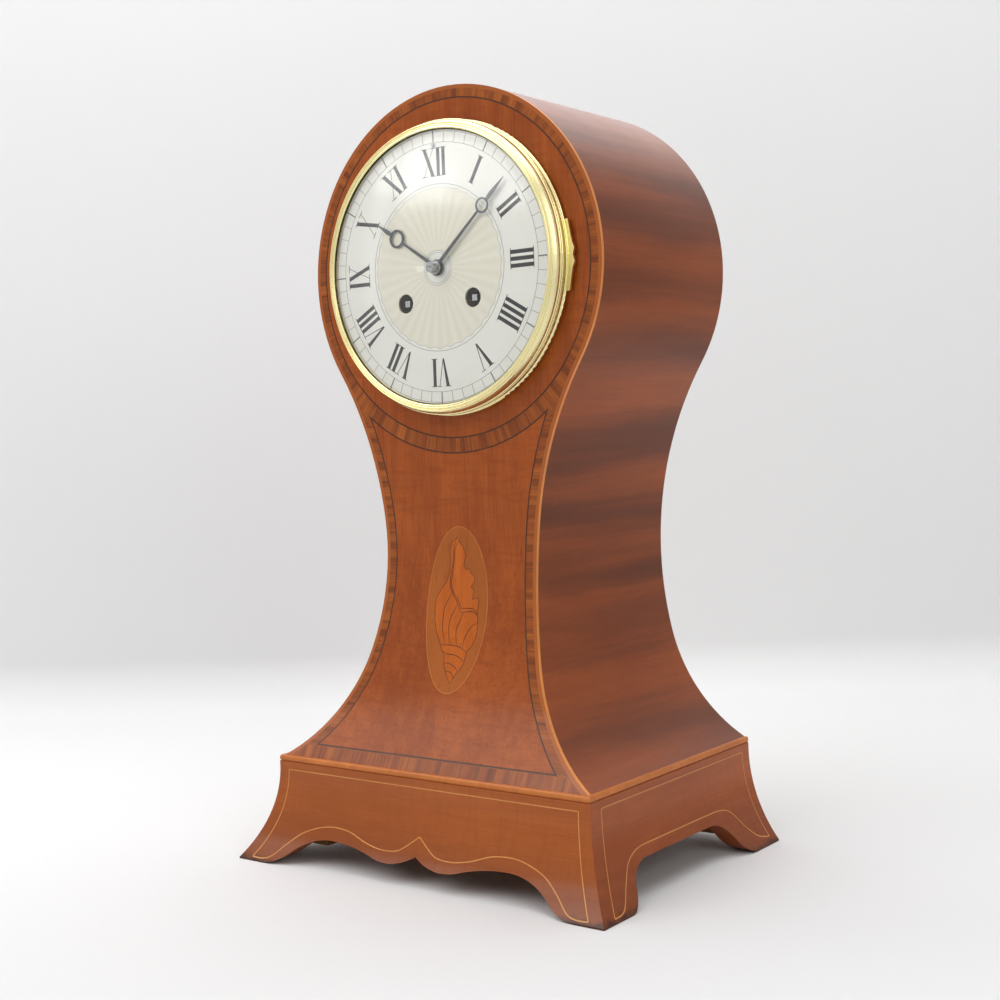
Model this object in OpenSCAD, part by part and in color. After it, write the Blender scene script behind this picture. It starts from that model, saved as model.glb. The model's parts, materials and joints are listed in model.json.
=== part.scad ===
// Balloon clock: a veneered case on a splayed plinth, with a round striking movement behind a hinged bezel.
// Millimetres. +Z up, the dial faces -Y, +X to the right. The origin is on the floor under the middle of the box.

/* [Case] */
// Radius of the round head
head_radius = 94; // [84:1:104]
// Height of the head's centre above the floor
head_height = 313.2; // [295:1:335]
// Depth of the case at the head
head_depth = 121; // [105:1:140]
// Half width of the waist
waist_half = 49.5; // [42:0.5:56]
// Height of the waist, as a share of the rise from the plinth to the head's centre
waist_share = 0.405; // [0.37:0.005:0.44]
// Half width of the body where it meets the plinth
foot_half = 99.2; // [94:0.1:105]
// Radius of the flare at the foot of the body
flare_radius = 90.8; // [80:0.1:100]
// Height of the plinth
plinth_height = 55.7; // [50:0.1:62]
// Height where the front begins to sweep forward
sweep_height = 182.5; // [170:0.5:195]
// Radius of the forward sweep of the front
sweep_radius = 250; // [220:1:300]
// Thickness of the bent side band
band_wall = 7; // [5:0.5:10]
// Thickness of the front board
front_wall = 8; // [6:0.5:12]
// Thickness of the back board
back_wall = 8; // [6:0.5:12]
// Depth of the recess behind the back board
back_recess = 12; // [10:0.5:16]
// Thickness of the floor of the body
floor_wall = 8; // [6:0.5:12]
// Radius of the movement's hole in the front and back boards
case_hole = 66; // [64:0.5:68]

/* [Inlay] */
// Thickness of the face veneers
veneer = 0.9; // [0.6:0.1:1.5]
// Side of the square boxwood string on the front corner
string_side = 2; // [1.5:0.1:3]
// Width of the border from the outline to the dark line
border = 6.3; // [5:0.1:9]
// Width of the dark line
line_width = 0.8; // [0.5:0.1:1.5]
// Radius of the dark circle round the dial
circle_line = 87.5; // [80:0.5:90]
// Radius of the arc at the top of the lower field
field_arc = 95.1; // [92:0.1:100]
// Half width of the shell oval
oval_half = 20.2; // [14:0.1:24]
// Half height of the shell oval
oval_tall = 43; // [30:0.5:50]
// Height of the shell oval's centre above the floor
oval_height = 136.4; // [125:0.5:150]

/* [Plinth] */
// Overhang of the plinth past the body
overhang = 2.4; // [1.5:0.1:5]
// Height of the boxwood edge of the plinth
edge_height = 3.2; // [2:0.1:5]
// Width of the boxwood edge of the plinth
edge_width = 4; // [3:0.1:6]
// Thickness of the plinth rails
rail_wall = 10; // [8:0.5:14]
// Radius of the cove of the feet
cove_radius = 79.5; // [70:0.5:100]
// Height where the cove begins
cove_height = 50; // [46:0.5:51]
// Reach of the toes past the top of the plinth
toe_reach = 17; // [12:0.5:17.5]
// Thickness of the plinth's top board
top_wall = 8; // [6:0.5:12]
// Height of the arch in the front apron
apron_arch = 15.5; // [12:0.5:20]
// Height of the lowest part of the apron's lobes
apron_lobe = 10; // [6:0.5:11]
// Distance from the middle to the top of the apron's arch
apron_peak = 58; // [50:1:64]
// Distance from the middle to the lowest part of a lobe
lobe_offset = 18.5; // [14:0.5:24]
// Radius of the apron's lobes
lobe_radius = 36; // [30:1:44]
// Radius of the apron's arch on the foot's side
foot_arch = 43; // [36:1:50]
// Steepest slope of the apron's foot
foot_slope = 37.2; // [30:0.1:42]
// Height of the arch in the side rails
side_arch = 19.2; // [14:0.1:24]
// Half length of the flat top of the side arch
side_flat = 32; // [24:1:40]
// Length of the curve at each end of the side arch
side_run = 35; // [30:1:38]
// Side of the corner blocks
block_side = 14; // [10:0.5:18]

/* [Dial and bezel] */
// Radius of the dial plate
dial_radius = 71; // [66:0.5:72]
// Thickness of the dial plate
dial_wall = 1; // [0.8:0.1:1.5]
// Distance of the dial's face in front of the case
dial_stand = 10; // [8:0.5:13]
// Thickness of the dial seat's drum
drum_wall = 1.2; // [1:0.1:2]
// Clearance between the dial and its drum
dial_clear = 0.2; // [0.1:0.05:0.4]
// Thickness of the dial seat's flange
flange_wall = 1.2; // [1:0.1:2]
// Clearance between the bezel and its seat
bezel_clear = 0.75; // [0.7:0.05:1]
// Thickness of the bezel's wall
bezel_wall = 3; // [2.5:0.1:4]
// Height of the domed glass
glass_dome = 13; // [12:0.5:16]
// Thickness of the glass
glass_wall = 2; // [1.5:0.1:2.5]
// Half length of the bezel's hinge
hinge_half = 20; // [16:1:24]
// Radius of the hinge pins
pin_radius = 0.9; // [0.7:0.05:1.2]
// Wall of the hinge knuckles
knuckle_wall = 0.8; // [0.6:0.05:1.2]
// Running clearance of pins and arbors
run_clear = 0.05; // [0.03:0.01:0.08]
// Radius of the winding holes in the dial
wind_hole = 5; // [4:0.1:6]
// Half spacing of the winding arbors
wind_half = 22.2; // [22:0.1:24]
// Distance of the winding arbors below the dial's centre
wind_drop = 16.85; // [15:0.05:18]
// Distance of the rate square above the dial's centre
rate_rise = 62.5; // [60:0.5:66]
// Length of the minute hand
minute_length = 61; // [54:0.5:62]
// Length of the hour hand
hour_length = 48; // [40:0.5:50]
// Angle of the minute hand past twelve at rest
minute_angle = 48; // [0:1:359]
// Angle of the hour hand past twelve at rest
hour_angle = 303.5; // [0:0.5:359]

/* [Movement] */
// Radius of the movement's plates
plate_radius = 50; // [49.5:0.5:52]
// Thickness of the movement's plates
plate_wall = 2.4; // [2:0.1:3]
// Length of the pillars between the plates
pillar_length = 38; // [37:0.5:42]
// Length of the dial's feet
dial_foot = 13; // [12.5:0.5:15]
// Radius of the barrels
barrel_radius = 18.5; // [16:0.5:19]
// Length of the barrels
barrel_length = 24; // [20:0.5:24]
// Teeth of the great wheels
great_teeth = 72; // [66:1:78]
// Module of the great wheels
great_module = 0.58; // [0.56:0.005:0.59]
// Leaves of the pinions driven by the great wheels
great_pinion = 12; // [10:1:14]
// Teeth of the intermediate wheel
inter_teeth = 60; // [56:1:64]
// Module of the intermediate wheel
inter_module = 0.5; // [0.48:0.005:0.51]
// Leaves of the centre pinion
centre_pinion = 12; // [10:1:14]
// Teeth of the centre wheel
centre_teeth = 80; // [76:1:84]
// Module of the centre wheel
centre_module = 0.4; // [0.39:0.005:0.41]
// Leaves of the third pinion
third_pinion = 8; // [7:1:9]
// Teeth of the third wheel
third_teeth = 75; // [72:1:78]
// Module of the third wheel
third_module = 0.32; // [0.31:0.005:0.33]
// Leaves of the escape pinion
escape_pinion = 6; // [6:1:7]
// Teeth of the escape wheel
escape_teeth = 40; // [36:1:44]
// Radius of the escape wheel
escape_radius = 9; // [8.5:0.1:9.5]
// Distance of the escape arbor above the dial's centre
escape_rise = 28; // [27.5:0.1:29]
// Half angle that the anchor spans on the escape wheel
anchor_half = 33.75; // [30:0.25:38]
// Module of the motion work
motion_module = 0.5; // [0.48:0.01:0.52]
// Length of the pendulum from its pivot to the bob's centre
pendulum_length = 125; // [115:1:130]
// Radius of the pendulum's bob
bob_radius = 18; // [14:0.5:20]
// Distance of the pendulum behind the back plate
pendulum_back = 11; // [10:0.5:14]
// Outer radius of the gong's coil
gong_radius = 28; // [24:0.5:29]
// Loops of the gong's coil
gong_loops = 4; // [3:1:4]
// Step from loop to loop of the gong
gong_step = 4.6; // [4:0.1:5]
// Radius of the gong's wire
gong_wire = 1.1; // [0.8:0.05:1.3]
// Distance of the gong in front of the back board
gong_stand = 22; // [20:0.5:26]
// Height of the gong's centre above the floor
gong_height = 213; // [208:1:218]

/* [Rear door] */
// Radius of the rear door
door_radius = 58; // [56.5:0.5:60]
// Thickness of the rear ring and door
door_wall = 1.5; // [1.2:0.1:2]
// Width of the rear ring's bearing on the back board
ring_bearing = 8; // [6:0.5:10]
// Radius of the rear door's knob
knob_radius = 3.5; // [2.5:0.1:4]

/* [Hidden] */
exact = 180;
small = 32;
far = 600;

// Outline of the body, seen from the front
waist_height = plinth_height + waist_share * (head_height - plinth_height);
waist_rise = head_height - waist_height;
waist_radius = (waist_half * waist_half + waist_rise * waist_rise - head_radius * head_radius)
  / (2 * (head_radius - waist_half));
waist_x = waist_half + waist_radius;
flare_at = apex([waist_x, waist_height], [foot_half, plinth_height], waist_radius - flare_radius, flare_radius, -1);
flare_x = flare_at[0];
flare_z = flare_at[1];
fan_z = waist_height - waist_x * (waist_height - flare_z) / (waist_x - flare_x);

// Places along the depth
sweep_lead = sweep_radius - sqrt(pow(sweep_radius, 2) - pow(sweep_height - plinth_height, 2));
back_y = (head_depth + sweep_lead + overhang + toe_reach) / 2;
head_y = back_y - head_depth;
plinth_y = head_y - sweep_lead - overhang;
plinth_half = foot_half + overhang;
board_y = back_y - back_recess;
inside_y = board_y - back_wall;
top_z = head_height + head_radius;

// Dial, bezel and movement places along the depth
dial_face = head_y - dial_stand;
plate_front = dial_face + dial_wall + dial_foot;
plate_in = plate_front + plate_wall;
plate_out = plate_in + pillar_length;
plate_rear = plate_out + plate_wall;
drum_in = dial_radius + dial_clear;
drum_out = drum_in + drum_wall;
bezel_in = drum_out + bezel_clear;
bezel_out = bezel_in + bezel_wall;
bezel_foot = flange_wall + 0.2;
glass_foot = dial_stand + 1;
glass_edge = drum_out - 0.7;
glass_round = (glass_edge * glass_edge + glass_dome * glass_dome) / (2 * glass_dome);
knuckle = pin_radius + run_clear + knuckle_wall;
hinge_x = -(bezel_out + knuckle);
hinge_y = head_y - knuckle - 0.2;
seat_hole = case_hole - 8;

// Arbor centres, seen from the front, from the dial's centre
going_at = [wind_half, -wind_drop];
strike_at = [-wind_half, -wind_drop];
mesh_ease = 0.1;
great_reach = great_module * (great_teeth + great_pinion) / 2 + mesh_ease;
inter_reach = inter_module * (inter_teeth + centre_pinion) / 2 + mesh_ease;
centre_reach = centre_module * (centre_teeth + third_pinion) / 2 + mesh_ease;
third_reach = third_module * (third_teeth + escape_pinion) / 2 + mesh_ease;
centre_at = [0, 0];
escape_at = [0, escape_rise];
inter_at = apex(going_at, centre_at, great_reach, inter_reach, -1);
third_at = apex(centre_at, escape_at, centre_reach, third_reach, 1);
anchor_at = [0, escape_rise + escape_radius / cos(anchor_half)];
pin_turn = 100;
pin_at = strike_at + great_reach * [cos(pin_turn), sin(pin_turn)];
pin_teeth = 60;
pin_module = 0.45;
fly_leaves = 8;
fly_reach = pin_module * (pin_teeth + fly_leaves) / 2 + mesh_ease;
fly_turned = 80;
fly_at = pin_at + fly_reach * [cos(fly_turned), sin(fly_turned)];
vane_half = 5;
hammer_at = [-(gong_radius - 0.75 * gong_step + gong_wire + 4), 29];
motion_teeth = 36;
motion_leaves = 12;
hour_teeth = 48;
cannon_leaves = 12;
motion_reach = motion_module * (motion_teeth + cannon_leaves) / 2 + mesh_ease;
hour_module = 2 * (motion_reach - mesh_ease) / (hour_teeth + motion_leaves);
motion_at = motion_reach * [cos(35), sin(35)];

// Layers of the movement, from the inside of the front plate
centre_layer = 0.8;
barrel_layer = 3;
great_layer = barrel_layer + barrel_length;
third_layer = 10;
escape_layer = 20;
inter_layer = great_layer + 5;
wheel_wall = 1.3;
great_wall = 2.2;
arbor = 1.2;
pivot = 0.8;
fine_pivot = 0.5;
square_side = 3.2;
going_arbor_r = 3;

// Heights of the motion work in front of the front plate
motion_gap = 1.2;
motion_wall = 1.2;

// Apex of a triangle from two corners and the two reaches
function apex(a, b, ra, rb, side) =
  let (d = norm(b - a), u = (b - a) / d, k = (ra * ra - rb * rb + d * d) / (2 * d))
  a + u * k + side * [-u[1], u[0]] * sqrt(ra * ra - k * k);

// Direction from one arbor to another
function toward(a, b) = atan2(b[1] - a[1], b[0] - a[0]);

// Turn of a gear that sets its gap on its driver's tooth
function mesh_turn(a, b, teeth_a, turn_a, teeth_b) =
  let (dir = toward(a, b), u = (dir - turn_a) * teeth_a / 360)
  dir + 180 - (0.5 - u) * 360 / teeth_b;

inter_turn = mesh_turn(going_at, inter_at, great_teeth, 0, great_pinion);
centre_turn = mesh_turn(inter_at, centre_at, inter_teeth, inter_turn, centre_pinion);
third_turn = mesh_turn(centre_at, third_at, centre_teeth, centre_turn, third_pinion);
escape_turn = mesh_turn(third_at, escape_at, third_teeth, third_turn, escape_pinion);
pin_wheel_turn = mesh_turn(strike_at, pin_at, great_teeth, 0, great_pinion);
fly_turn = mesh_turn(pin_at, fly_at, pin_teeth, pin_wheel_turn, fly_leaves);
motion_turn = mesh_turn(centre_at, motion_at, cannon_leaves, 0, motion_teeth);
hour_turn = mesh_turn(motion_at, centre_at, motion_leaves, motion_turn, hour_teeth);

// Extrudes an outline drawn as width and height along the depth
module along_y(from, to) {
  translate([0, to, 0])
    rotate([90, 0, 0])
      linear_extrude(height = to - from)
        children();
}

// Extrudes an outline drawn as depth and height along the width
module along_x(from, to) {
  translate([from, 0, 0])
    rotate([90, 0, 90])
      linear_extrude(height = to - from)
        children();
}

// Turns a profile of radius and forward distance about the dial's axis
module turned() {
  translate([0, head_y, head_height])
    rotate([90, 0, 0])
      rotate_extrude($fn = exact)
        children();
}

// Rod along the depth at a place seen from the front
module rod(at, from, to, r) {
  translate([at[0], from, head_height + at[1]])
    rotate([-90, 0, 0])
      cylinder(h = to - from, r = r, $fn = small);
}

// Skirt on one side below the head: the waist arc above the flare arc
module skirt_half(inset, bottom) {
  difference() {
    polygon([[0, head_height], [0, fan_z], [waist_x, waist_height]]);
    translate([waist_x, waist_height])
      circle(r = waist_radius + inset, $fn = exact);
  }
  difference() {
    polygon([[0, fan_z], [0, bottom], [flare_x, bottom], [flare_x, flare_z]]);
    translate([flare_x, flare_z])
      circle(r = flare_radius + inset, $fn = exact);
  }
}

// Skirt below the head, both sides
module skirt(inset, bottom) {
  skirt_half(inset, bottom);
  mirror([1, 0])
    skirt_half(inset, bottom);
}

// Balloon outline, drawn in by an inset, from a bottom height up
module balloon(inset, bottom) {
  difference() {
    translate([0, head_height])
      circle(r = head_radius - inset, $fn = exact);
    polygon([[0, head_height], [waist_x, waist_height], [0, -far], [-waist_x, waist_height]]);
  }
  skirt(inset, bottom);
}

// Side view of everything behind the front face, from a depth below it
module behind(depth) {
  translate([head_y + depth, sweep_height])
    square([back_y - head_y - depth, top_z - sweep_height + 1]);
  difference() {
    translate([head_y - sweep_radius, plinth_height])
      square([back_y - head_y + sweep_radius, sweep_height - plinth_height]);
    translate([head_y - sweep_radius, sweep_height])
      circle(r = sweep_radius + depth, $fn = exact);
  }
}

// Layer that follows the swept front between two depths
module front_layer(from, to) {
  along_x(-far / 2, far / 2)
    difference() {
      behind(from);
      behind(to);
    }
}

// Outline on the front, cut as a veneer
module veneer_piece() {
  intersection() {
    along_y(plinth_y - toe_reach, back_y)
      children();
    front_layer(0, veneer);
  }
}

// Lower field inside its dark line, drawn in by an inset
module lower_field(inset) {
  difference() {
    skirt(border + inset, plinth_height + border + inset);
    translate([0, head_height])
      circle(r = field_arc + inset, $fn = exact);
  }
}

// Oval of the shell
module shell_oval(inset) {
  translate([0, oval_height])
    scale([(oval_half - inset) / (oval_tall - inset), 1])
      circle(r = oval_tall - inset, $fn = exact);
}

// Conch outline: canal, body whorl and the whorls of the spire
module conch() {
  translate([0, oval_height])
    scale([oval_half, oval_tall])
      polygon([
        [-0.05, 0.87], [-0.24, 0.8], [-0.31, 0.7], [-0.29, 0.58], [-0.3, 0.45], [-0.38, 0.33], [-0.57, 0.22],
        [-0.7, 0.12], [-0.73, 0], [-0.7, -0.14], [-0.62, -0.27], [-0.5, -0.37], [-0.36, -0.5], [-0.25, -0.55],
        [-0.21, -0.67], [-0.07, -0.8], [0.08, -0.88], [0.24, -0.74], [0.34, -0.7], [0.43, -0.62], [0.45, -0.5],
        [0.61, -0.43], [0.7, -0.33], [0.73, -0.21], [0.68, -0.01], [0.7, 0.1], [0.66, 0.14], [0.48, 0.12],
        [0.53, 0.23], [0.42, 0.27], [0.53, 0.34], [0.51, 0.41], [0.4, 0.43], [0.36, 0.48], [0.23, 0.48],
        [0.15, 0.52], [0.21, 0.65], [0.12, 0.75], [0.01, 0.81]
      ]);
}

// Strip of the skirt's edge on one side, between two insets
module skirt_strip(from, to, bottom) {
  intersection() {
    polygon([[0, head_height], [0, fan_z], [waist_x, waist_height]]);
    translate([waist_x, waist_height])
      difference() {
        circle(r = waist_radius + to, $fn = exact);
        circle(r = waist_radius + from, $fn = exact);
      }
  }
  intersection() {
    polygon([[0, fan_z], [0, bottom], [flare_x, bottom], [flare_x, flare_z]]);
    translate([flare_x, flare_z])
      difference() {
        circle(r = flare_radius + to, $fn = exact);
        circle(r = flare_radius + from, $fn = exact);
      }
  }
}

// Strip of the head's edge, between two insets
module head_strip(from, to) {
  translate([0, head_height])
    difference() {
      circle(r = head_radius - from, $fn = exact);
      circle(r = head_radius - to, $fn = exact);
    }
}

module case_band() {
  color("sienna")
    difference() {
      intersection() {
        along_y(plinth_y - toe_reach, back_y)
          difference() {
            head_strip(0, band_wall);
            polygon([[0, head_height], [waist_x, waist_height], [0, -far], [-waist_x, waist_height]]);
          }
        along_x(-far / 2, far / 2)
          behind(veneer);
      }
      intersection() {
        along_y(plinth_y - toe_reach, back_y)
          head_strip(-1, string_side);
        front_layer(0, string_side);
      }
    }
}

module right_side() {
  color("sienna")
    difference() {
      intersection() {
        along_y(plinth_y - toe_reach, back_y)
          skirt_strip(0, band_wall, plinth_height);
        along_x(-far / 2, far / 2)
          behind(veneer);
      }
      intersection() {
        along_y(plinth_y - toe_reach, back_y)
          skirt_strip(-1, string_side, plinth_height - 1);
        front_layer(0, string_side);
      }
    }
}

module left_side() {
  mirror([1, 0, 0])
    right_side();
}

module front_board() {
  color("peru")
    intersection() {
      along_y(plinth_y - toe_reach, back_y)
        difference() {
          balloon(band_wall, plinth_height);
          translate([0, head_height])
            circle(r = case_hole, $fn = exact);
        }
      front_layer(veneer, veneer + front_wall);
    }
}

module head_veneer() {
  color("chocolate")
    veneer_piece()
      translate([0, head_height])
        difference() {
          circle(r = circle_line - line_width / 2, $fn = exact);
          circle(r = case_hole, $fn = exact);
        }
}

module field_veneer() {
  color("chocolate")
    veneer_piece()
      difference() {
        lower_field(line_width);
        shell_oval(0);
      }
}

module crossbanding() {
  color("saddlebrown")
    veneer_piece()
      difference() {
        balloon(string_side, plinth_height);
        translate([0, head_height])
          circle(r = circle_line + line_width / 2, $fn = exact);
        lower_field(0);
      }
}

module ebony_line() {
  color("black")
    veneer_piece() {
      translate([0, head_height])
        difference() {
          circle(r = circle_line + line_width / 2, $fn = exact);
          circle(r = circle_line - line_width / 2, $fn = exact);
        }
      difference() {
        lower_field(0);
        lower_field(line_width);
      }
    }
}

module boxwood_string() {
  color("orange")
    intersection() {
      along_y(plinth_y - toe_reach, back_y)
        difference() {
          balloon(0, plinth_height);
          balloon(string_side, plinth_height - 1);
        }
      front_layer(0, string_side);
    }
}

module patera_ground() {
  color("darkolivegreen")
    veneer_piece()
      difference() {
        shell_oval(0);
        conch();
      }
}

module shell_inlay() {
  color("gold")
    veneer_piece()
      conch();
}

module back_board() {
  color("peru")
    along_y(inside_y, board_y)
      difference() {
        balloon(band_wall, plinth_height);
        translate([0, head_height])
          circle(r = case_hole, $fn = exact);
      }
}

module floor_board() {
  color("tan")
    intersection() {
      along_y(plinth_y - toe_reach, inside_y)
        intersection() {
          skirt(band_wall, plinth_height);
          translate([-flare_x, plinth_height])
            square([2 * flare_x, floor_wall]);
        }
      along_x(-far / 2, far / 2)
        behind(veneer + front_wall);
    }
}

// Plinth values
rail_top = plinth_height - edge_height;
rail_in = plinth_half - rail_wall;
edge_round = 0.7 * edge_height;
arch_radius = (pow(apron_peak - lobe_offset, 2) + pow(apron_lobe + lobe_radius - apron_arch, 2)
  - pow(lobe_radius, 2)) / (2 * (apron_arch - apron_lobe));
lobe_end = lobe_offset + (apron_peak - lobe_offset) * lobe_radius / (lobe_radius + arch_radius);
foot_x = apron_peak + foot_arch * sin(foot_slope);
foot_z = apron_arch - foot_arch * (1 - cos(foot_slope));
toe_round = foot_z / (1 - cos(foot_slope));
side_dip = 0.6;
side_slope = 2 * atan((side_arch + side_dip) / side_run);
side_round = side_run / sin(side_slope) / 2;
block_foot = 6;

// Section of a plinth rail, with its cove, from the outer face inward
module rail_section() {
  intersection() {
    union() {
      translate([0, cove_height])
        square([rail_wall, rail_top - cove_height]);
      intersection() {
        translate([-cove_radius, cove_height])
          difference() {
            circle(r = cove_radius + rail_wall, $fn = exact);
            circle(r = cove_radius, $fn = exact);
          }
        translate([-cove_radius, 0])
          square([cove_radius + rail_wall, cove_height]);
      }
    }
    translate([-toe_reach, 0])
      square([toe_reach + rail_wall, rail_top]);
  }
}

// Half of the space under the front apron
module apron_half() {
  difference() {
    translate([0, -1])
      square([lobe_end, apron_lobe + lobe_radius + 1]);
    translate([lobe_offset, apron_lobe + lobe_radius])
      circle(r = lobe_radius, $fn = exact);
  }
  intersection() {
    translate([apron_peak, apron_arch - arch_radius])
      circle(r = arch_radius, $fn = exact);
    translate([lobe_end - 1, -1])
      square([apron_peak - lobe_end + 1, apron_arch + 2]);
  }
  intersection() {
    translate([apron_peak, apron_arch - foot_arch])
      circle(r = foot_arch, $fn = exact);
    translate([apron_peak - 1, -1])
      square([foot_x - apron_peak + 2, apron_arch + 2]);
  }
  difference() {
    translate([foot_x, -1])
      square([toe_round * sin(foot_slope), foot_z + 1]);
    translate([foot_x + toe_round * sin(foot_slope), toe_round])
      circle(r = toe_round, $fn = exact);
  }
}

// Half of the space under a side rail
module side_half() {
  low = [side_flat, side_arch - side_round];
  high = [side_flat + side_run, side_round - side_dip];
  translate([0, -side_round])
    square([side_flat, side_arch + side_round]);
  intersection() {
    translate(low)
      circle(r = side_round, $fn = exact);
    polygon([low, high, high + [0, side_round], low + [0, 2 * side_round]]);
  }
  difference() {
    polygon([low, high, [high[0], -side_round], [low[0], -side_round]]);
    translate(high)
      circle(r = side_round, $fn = exact);
  }
}

// Rail along one side, mitred at the front
module side_rail() {
  intersection() {
    rotate([0, 0, 90])
      along_x(plinth_y - toe_reach, back_y)
        translate([-plinth_half, 0])
          rail_section();
    translate([0, 0, -1])
      linear_extrude(height = plinth_height + 1)
        polygon([
          [0, plinth_y + plinth_half], [far, plinth_y + plinth_half - far], [far, far], [0, far]
        ]);
    along_x(0, plinth_half + toe_reach + 1)
      difference() {
        translate([plinth_y - toe_reach - 1, -1])
          square([back_y - plinth_y + toe_reach + 2, plinth_height + 1]);
        side_half();
        mirror([1, 0])
          side_half();
      }
  }
}

// Slab of the boxwood edge, from its bowed nose inward over a width
module bowed(width) {
  intersection() {
    translate([edge_round, rail_top + edge_height / 2])
      circle(r = edge_round, $fn = exact);
    translate([0, rail_top])
      square([edge_round, edge_height]);
  }
  translate([edge_round, rail_top])
    square([width - edge_round, edge_height]);
}

module plinth_top() {
  color("tan") {
    translate([-plinth_half + edge_width, plinth_y + edge_width, rail_top])
      cube([2 * (plinth_half - edge_width), back_y - plinth_y - edge_width, edge_height]);
    translate([-rail_in, plinth_y + rail_wall, plinth_height - top_wall])
      cube([2 * rail_in, back_y - plinth_y - 2 * rail_wall, top_wall]);
  }
}

module plinth_edge() {
  color("orange")
    difference() {
      intersection() {
        along_x(-far / 2, far / 2)
          translate([plinth_y, 0])
            bowed(back_y - plinth_y);
        rotate([0, 0, 90])
          along_x(-far / 2, far / 2)
            translate([-plinth_half, 0])
              bowed(far);
        rotate([0, 0, -90])
          along_x(-far / 2, far / 2)
            translate([-plinth_half, 0])
              bowed(far);
      }
      translate([-plinth_half + edge_width, plinth_y + edge_width, rail_top - 1])
        cube([2 * (plinth_half - edge_width), far, edge_height + 2]);
    }
}

module plinth_front() {
  color("chocolate")
    difference() {
      intersection() {
        along_x(-plinth_half - toe_reach, plinth_half + toe_reach)
          translate([plinth_y, 0])
            rail_section();
        linear_extrude(height = plinth_height)
          polygon([
            [0, plinth_y + plinth_half], [-plinth_half - toe_reach, plinth_y - toe_reach],
            [plinth_half + toe_reach, plinth_y - toe_reach]
          ]);
      }
      along_y(plinth_y - toe_reach - 1, plinth_y + rail_wall + 1) {
        apron_half();
        mirror([1, 0])
          apron_half();
      }
    }
}

module plinth_left() {
  color("sienna")
    mirror([1, 0, 0])
      side_rail();
}

module plinth_right() {
  color("sienna")
    side_rail();
}

module plinth_back() {
  color("peru")
    translate([-rail_in, back_y - rail_wall, side_arch])
      cube([2 * rail_in, rail_wall, rail_top - side_arch]);
}

module corner_blocks() {
  color("tan")
    for (side = [0, 1])
      mirror([side, 0, 0])
        for (y = [plinth_y + rail_wall, back_y - rail_wall - block_side])
          translate([rail_in - block_side, y, block_foot])
            cube([block_side, block_side, plinth_height - top_wall - block_foot]);
}

// Knuckles of a vertical hinge between two heights beside its axis
module knuckle_at(x, y, low, high) {
  translate([x, y, head_height + low])
    difference() {
      cylinder(h = high - low, r = knuckle, $fn = small);
      translate([0, 0, -1])
        cylinder(h = high - low + 2, r = pin_radius + run_clear, $fn = small);
    }
}

third_hinge = hinge_half * 0.4;

module dial_seat() {
  color("goldenrod") {
    difference() {
      turned() {
        translate([seat_hole, 0])
          square([drum_out + 2 - seat_hole, flange_wall]);
        translate([drum_in, 0])
          square([drum_wall, dial_stand]);
        translate([drum_in - 2.5, dial_stand - dial_wall - 1])
          square([3, 1]);
      }
      rod([0, rate_rise], head_y - dial_stand, head_y + 1, arbor + 0.6);
    }
    for (low = [-hinge_half, third_hinge]) {
      knuckle_at(hinge_x, hinge_y, low, low + hinge_half - third_hinge);
      difference() {
        translate([hinge_x, head_y - flange_wall, head_height + low])
          cube([bezel_wall + knuckle + 3, flange_wall, hinge_half - third_hinge]);
        translate([hinge_x, hinge_y, head_height + low - 1])
          cylinder(h = hinge_half, r = pin_radius + run_clear, $fn = small);
        turned()
          square([drum_out + 1, flange_wall]);
      }
    }
  }
}

// Section of the reeded bezel, as radius and forward distance
module bezel_section() {
  front = glass_foot + 1;
  polygon([
    [bezel_in, bezel_foot], [bezel_out - 0.5, bezel_foot], [bezel_out - 0.5, bezel_foot + 0.9],
    [bezel_out - 1.1, bezel_foot + 1.4], [bezel_out - 1.3, bezel_foot + 2.6], [bezel_out - 0.9, bezel_foot + 4.2],
    [bezel_out - 1, front - 4.2], [bezel_out - 1.15, front - 3], [bezel_out - 1.5, front - 1.9],
    [bezel_out - 2.1, front - 0.9], [bezel_out - 3, front - 0.1], [glass_edge + 0.6, front + 0.4],
    [glass_edge - 0.8, front + 0.6], [glass_edge - 1.4, front], [glass_edge + 0.3, front - 0.1],
    [glass_edge + 0.3, glass_foot], [glass_edge - 2, glass_foot], [glass_edge - 2, glass_foot - 0.5],
    [bezel_in, glass_foot - 0.5]
  ]);
  for (bead = [[0.5, 0.5, 0.5], [0.9, 4.7, 0.5], [1, 5.9, 0.5], [2.9, 10.7, 0.35], [4.2, 11.2, 0.35]])
    translate([bezel_out - bead[0], bezel_foot + bead[1]])
      circle(r = bead[2], $fn = small);
}

module bezel() {
  color("gold") {
    turned()
      bezel_section();
    knuckle_at(hinge_x, hinge_y, -third_hinge + 0.3, third_hinge - 0.3);
    difference() {
      translate([hinge_x, hinge_y - knuckle, head_height - third_hinge + 0.3])
        cube([bezel_wall + knuckle, knuckle, 2 * third_hinge - 0.6]);
      translate([hinge_x, hinge_y, head_height - third_hinge])
        cylinder(h = 2 * third_hinge, r = pin_radius + run_clear, $fn = small);
      turned()
        square([bezel_in + 0.5, glass_foot]);
    }
  }
}

module glass() {
  color("azure", 0.3)
    turned()
      intersection() {
        translate([0, glass_foot + glass_dome - glass_round])
          difference() {
            circle(r = glass_round, $fn = exact);
            circle(r = glass_round - glass_wall, $fn = exact);
          }
        translate([0, glass_foot])
          square([glass_edge, glass_dome + 1]);
      }
}

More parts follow.
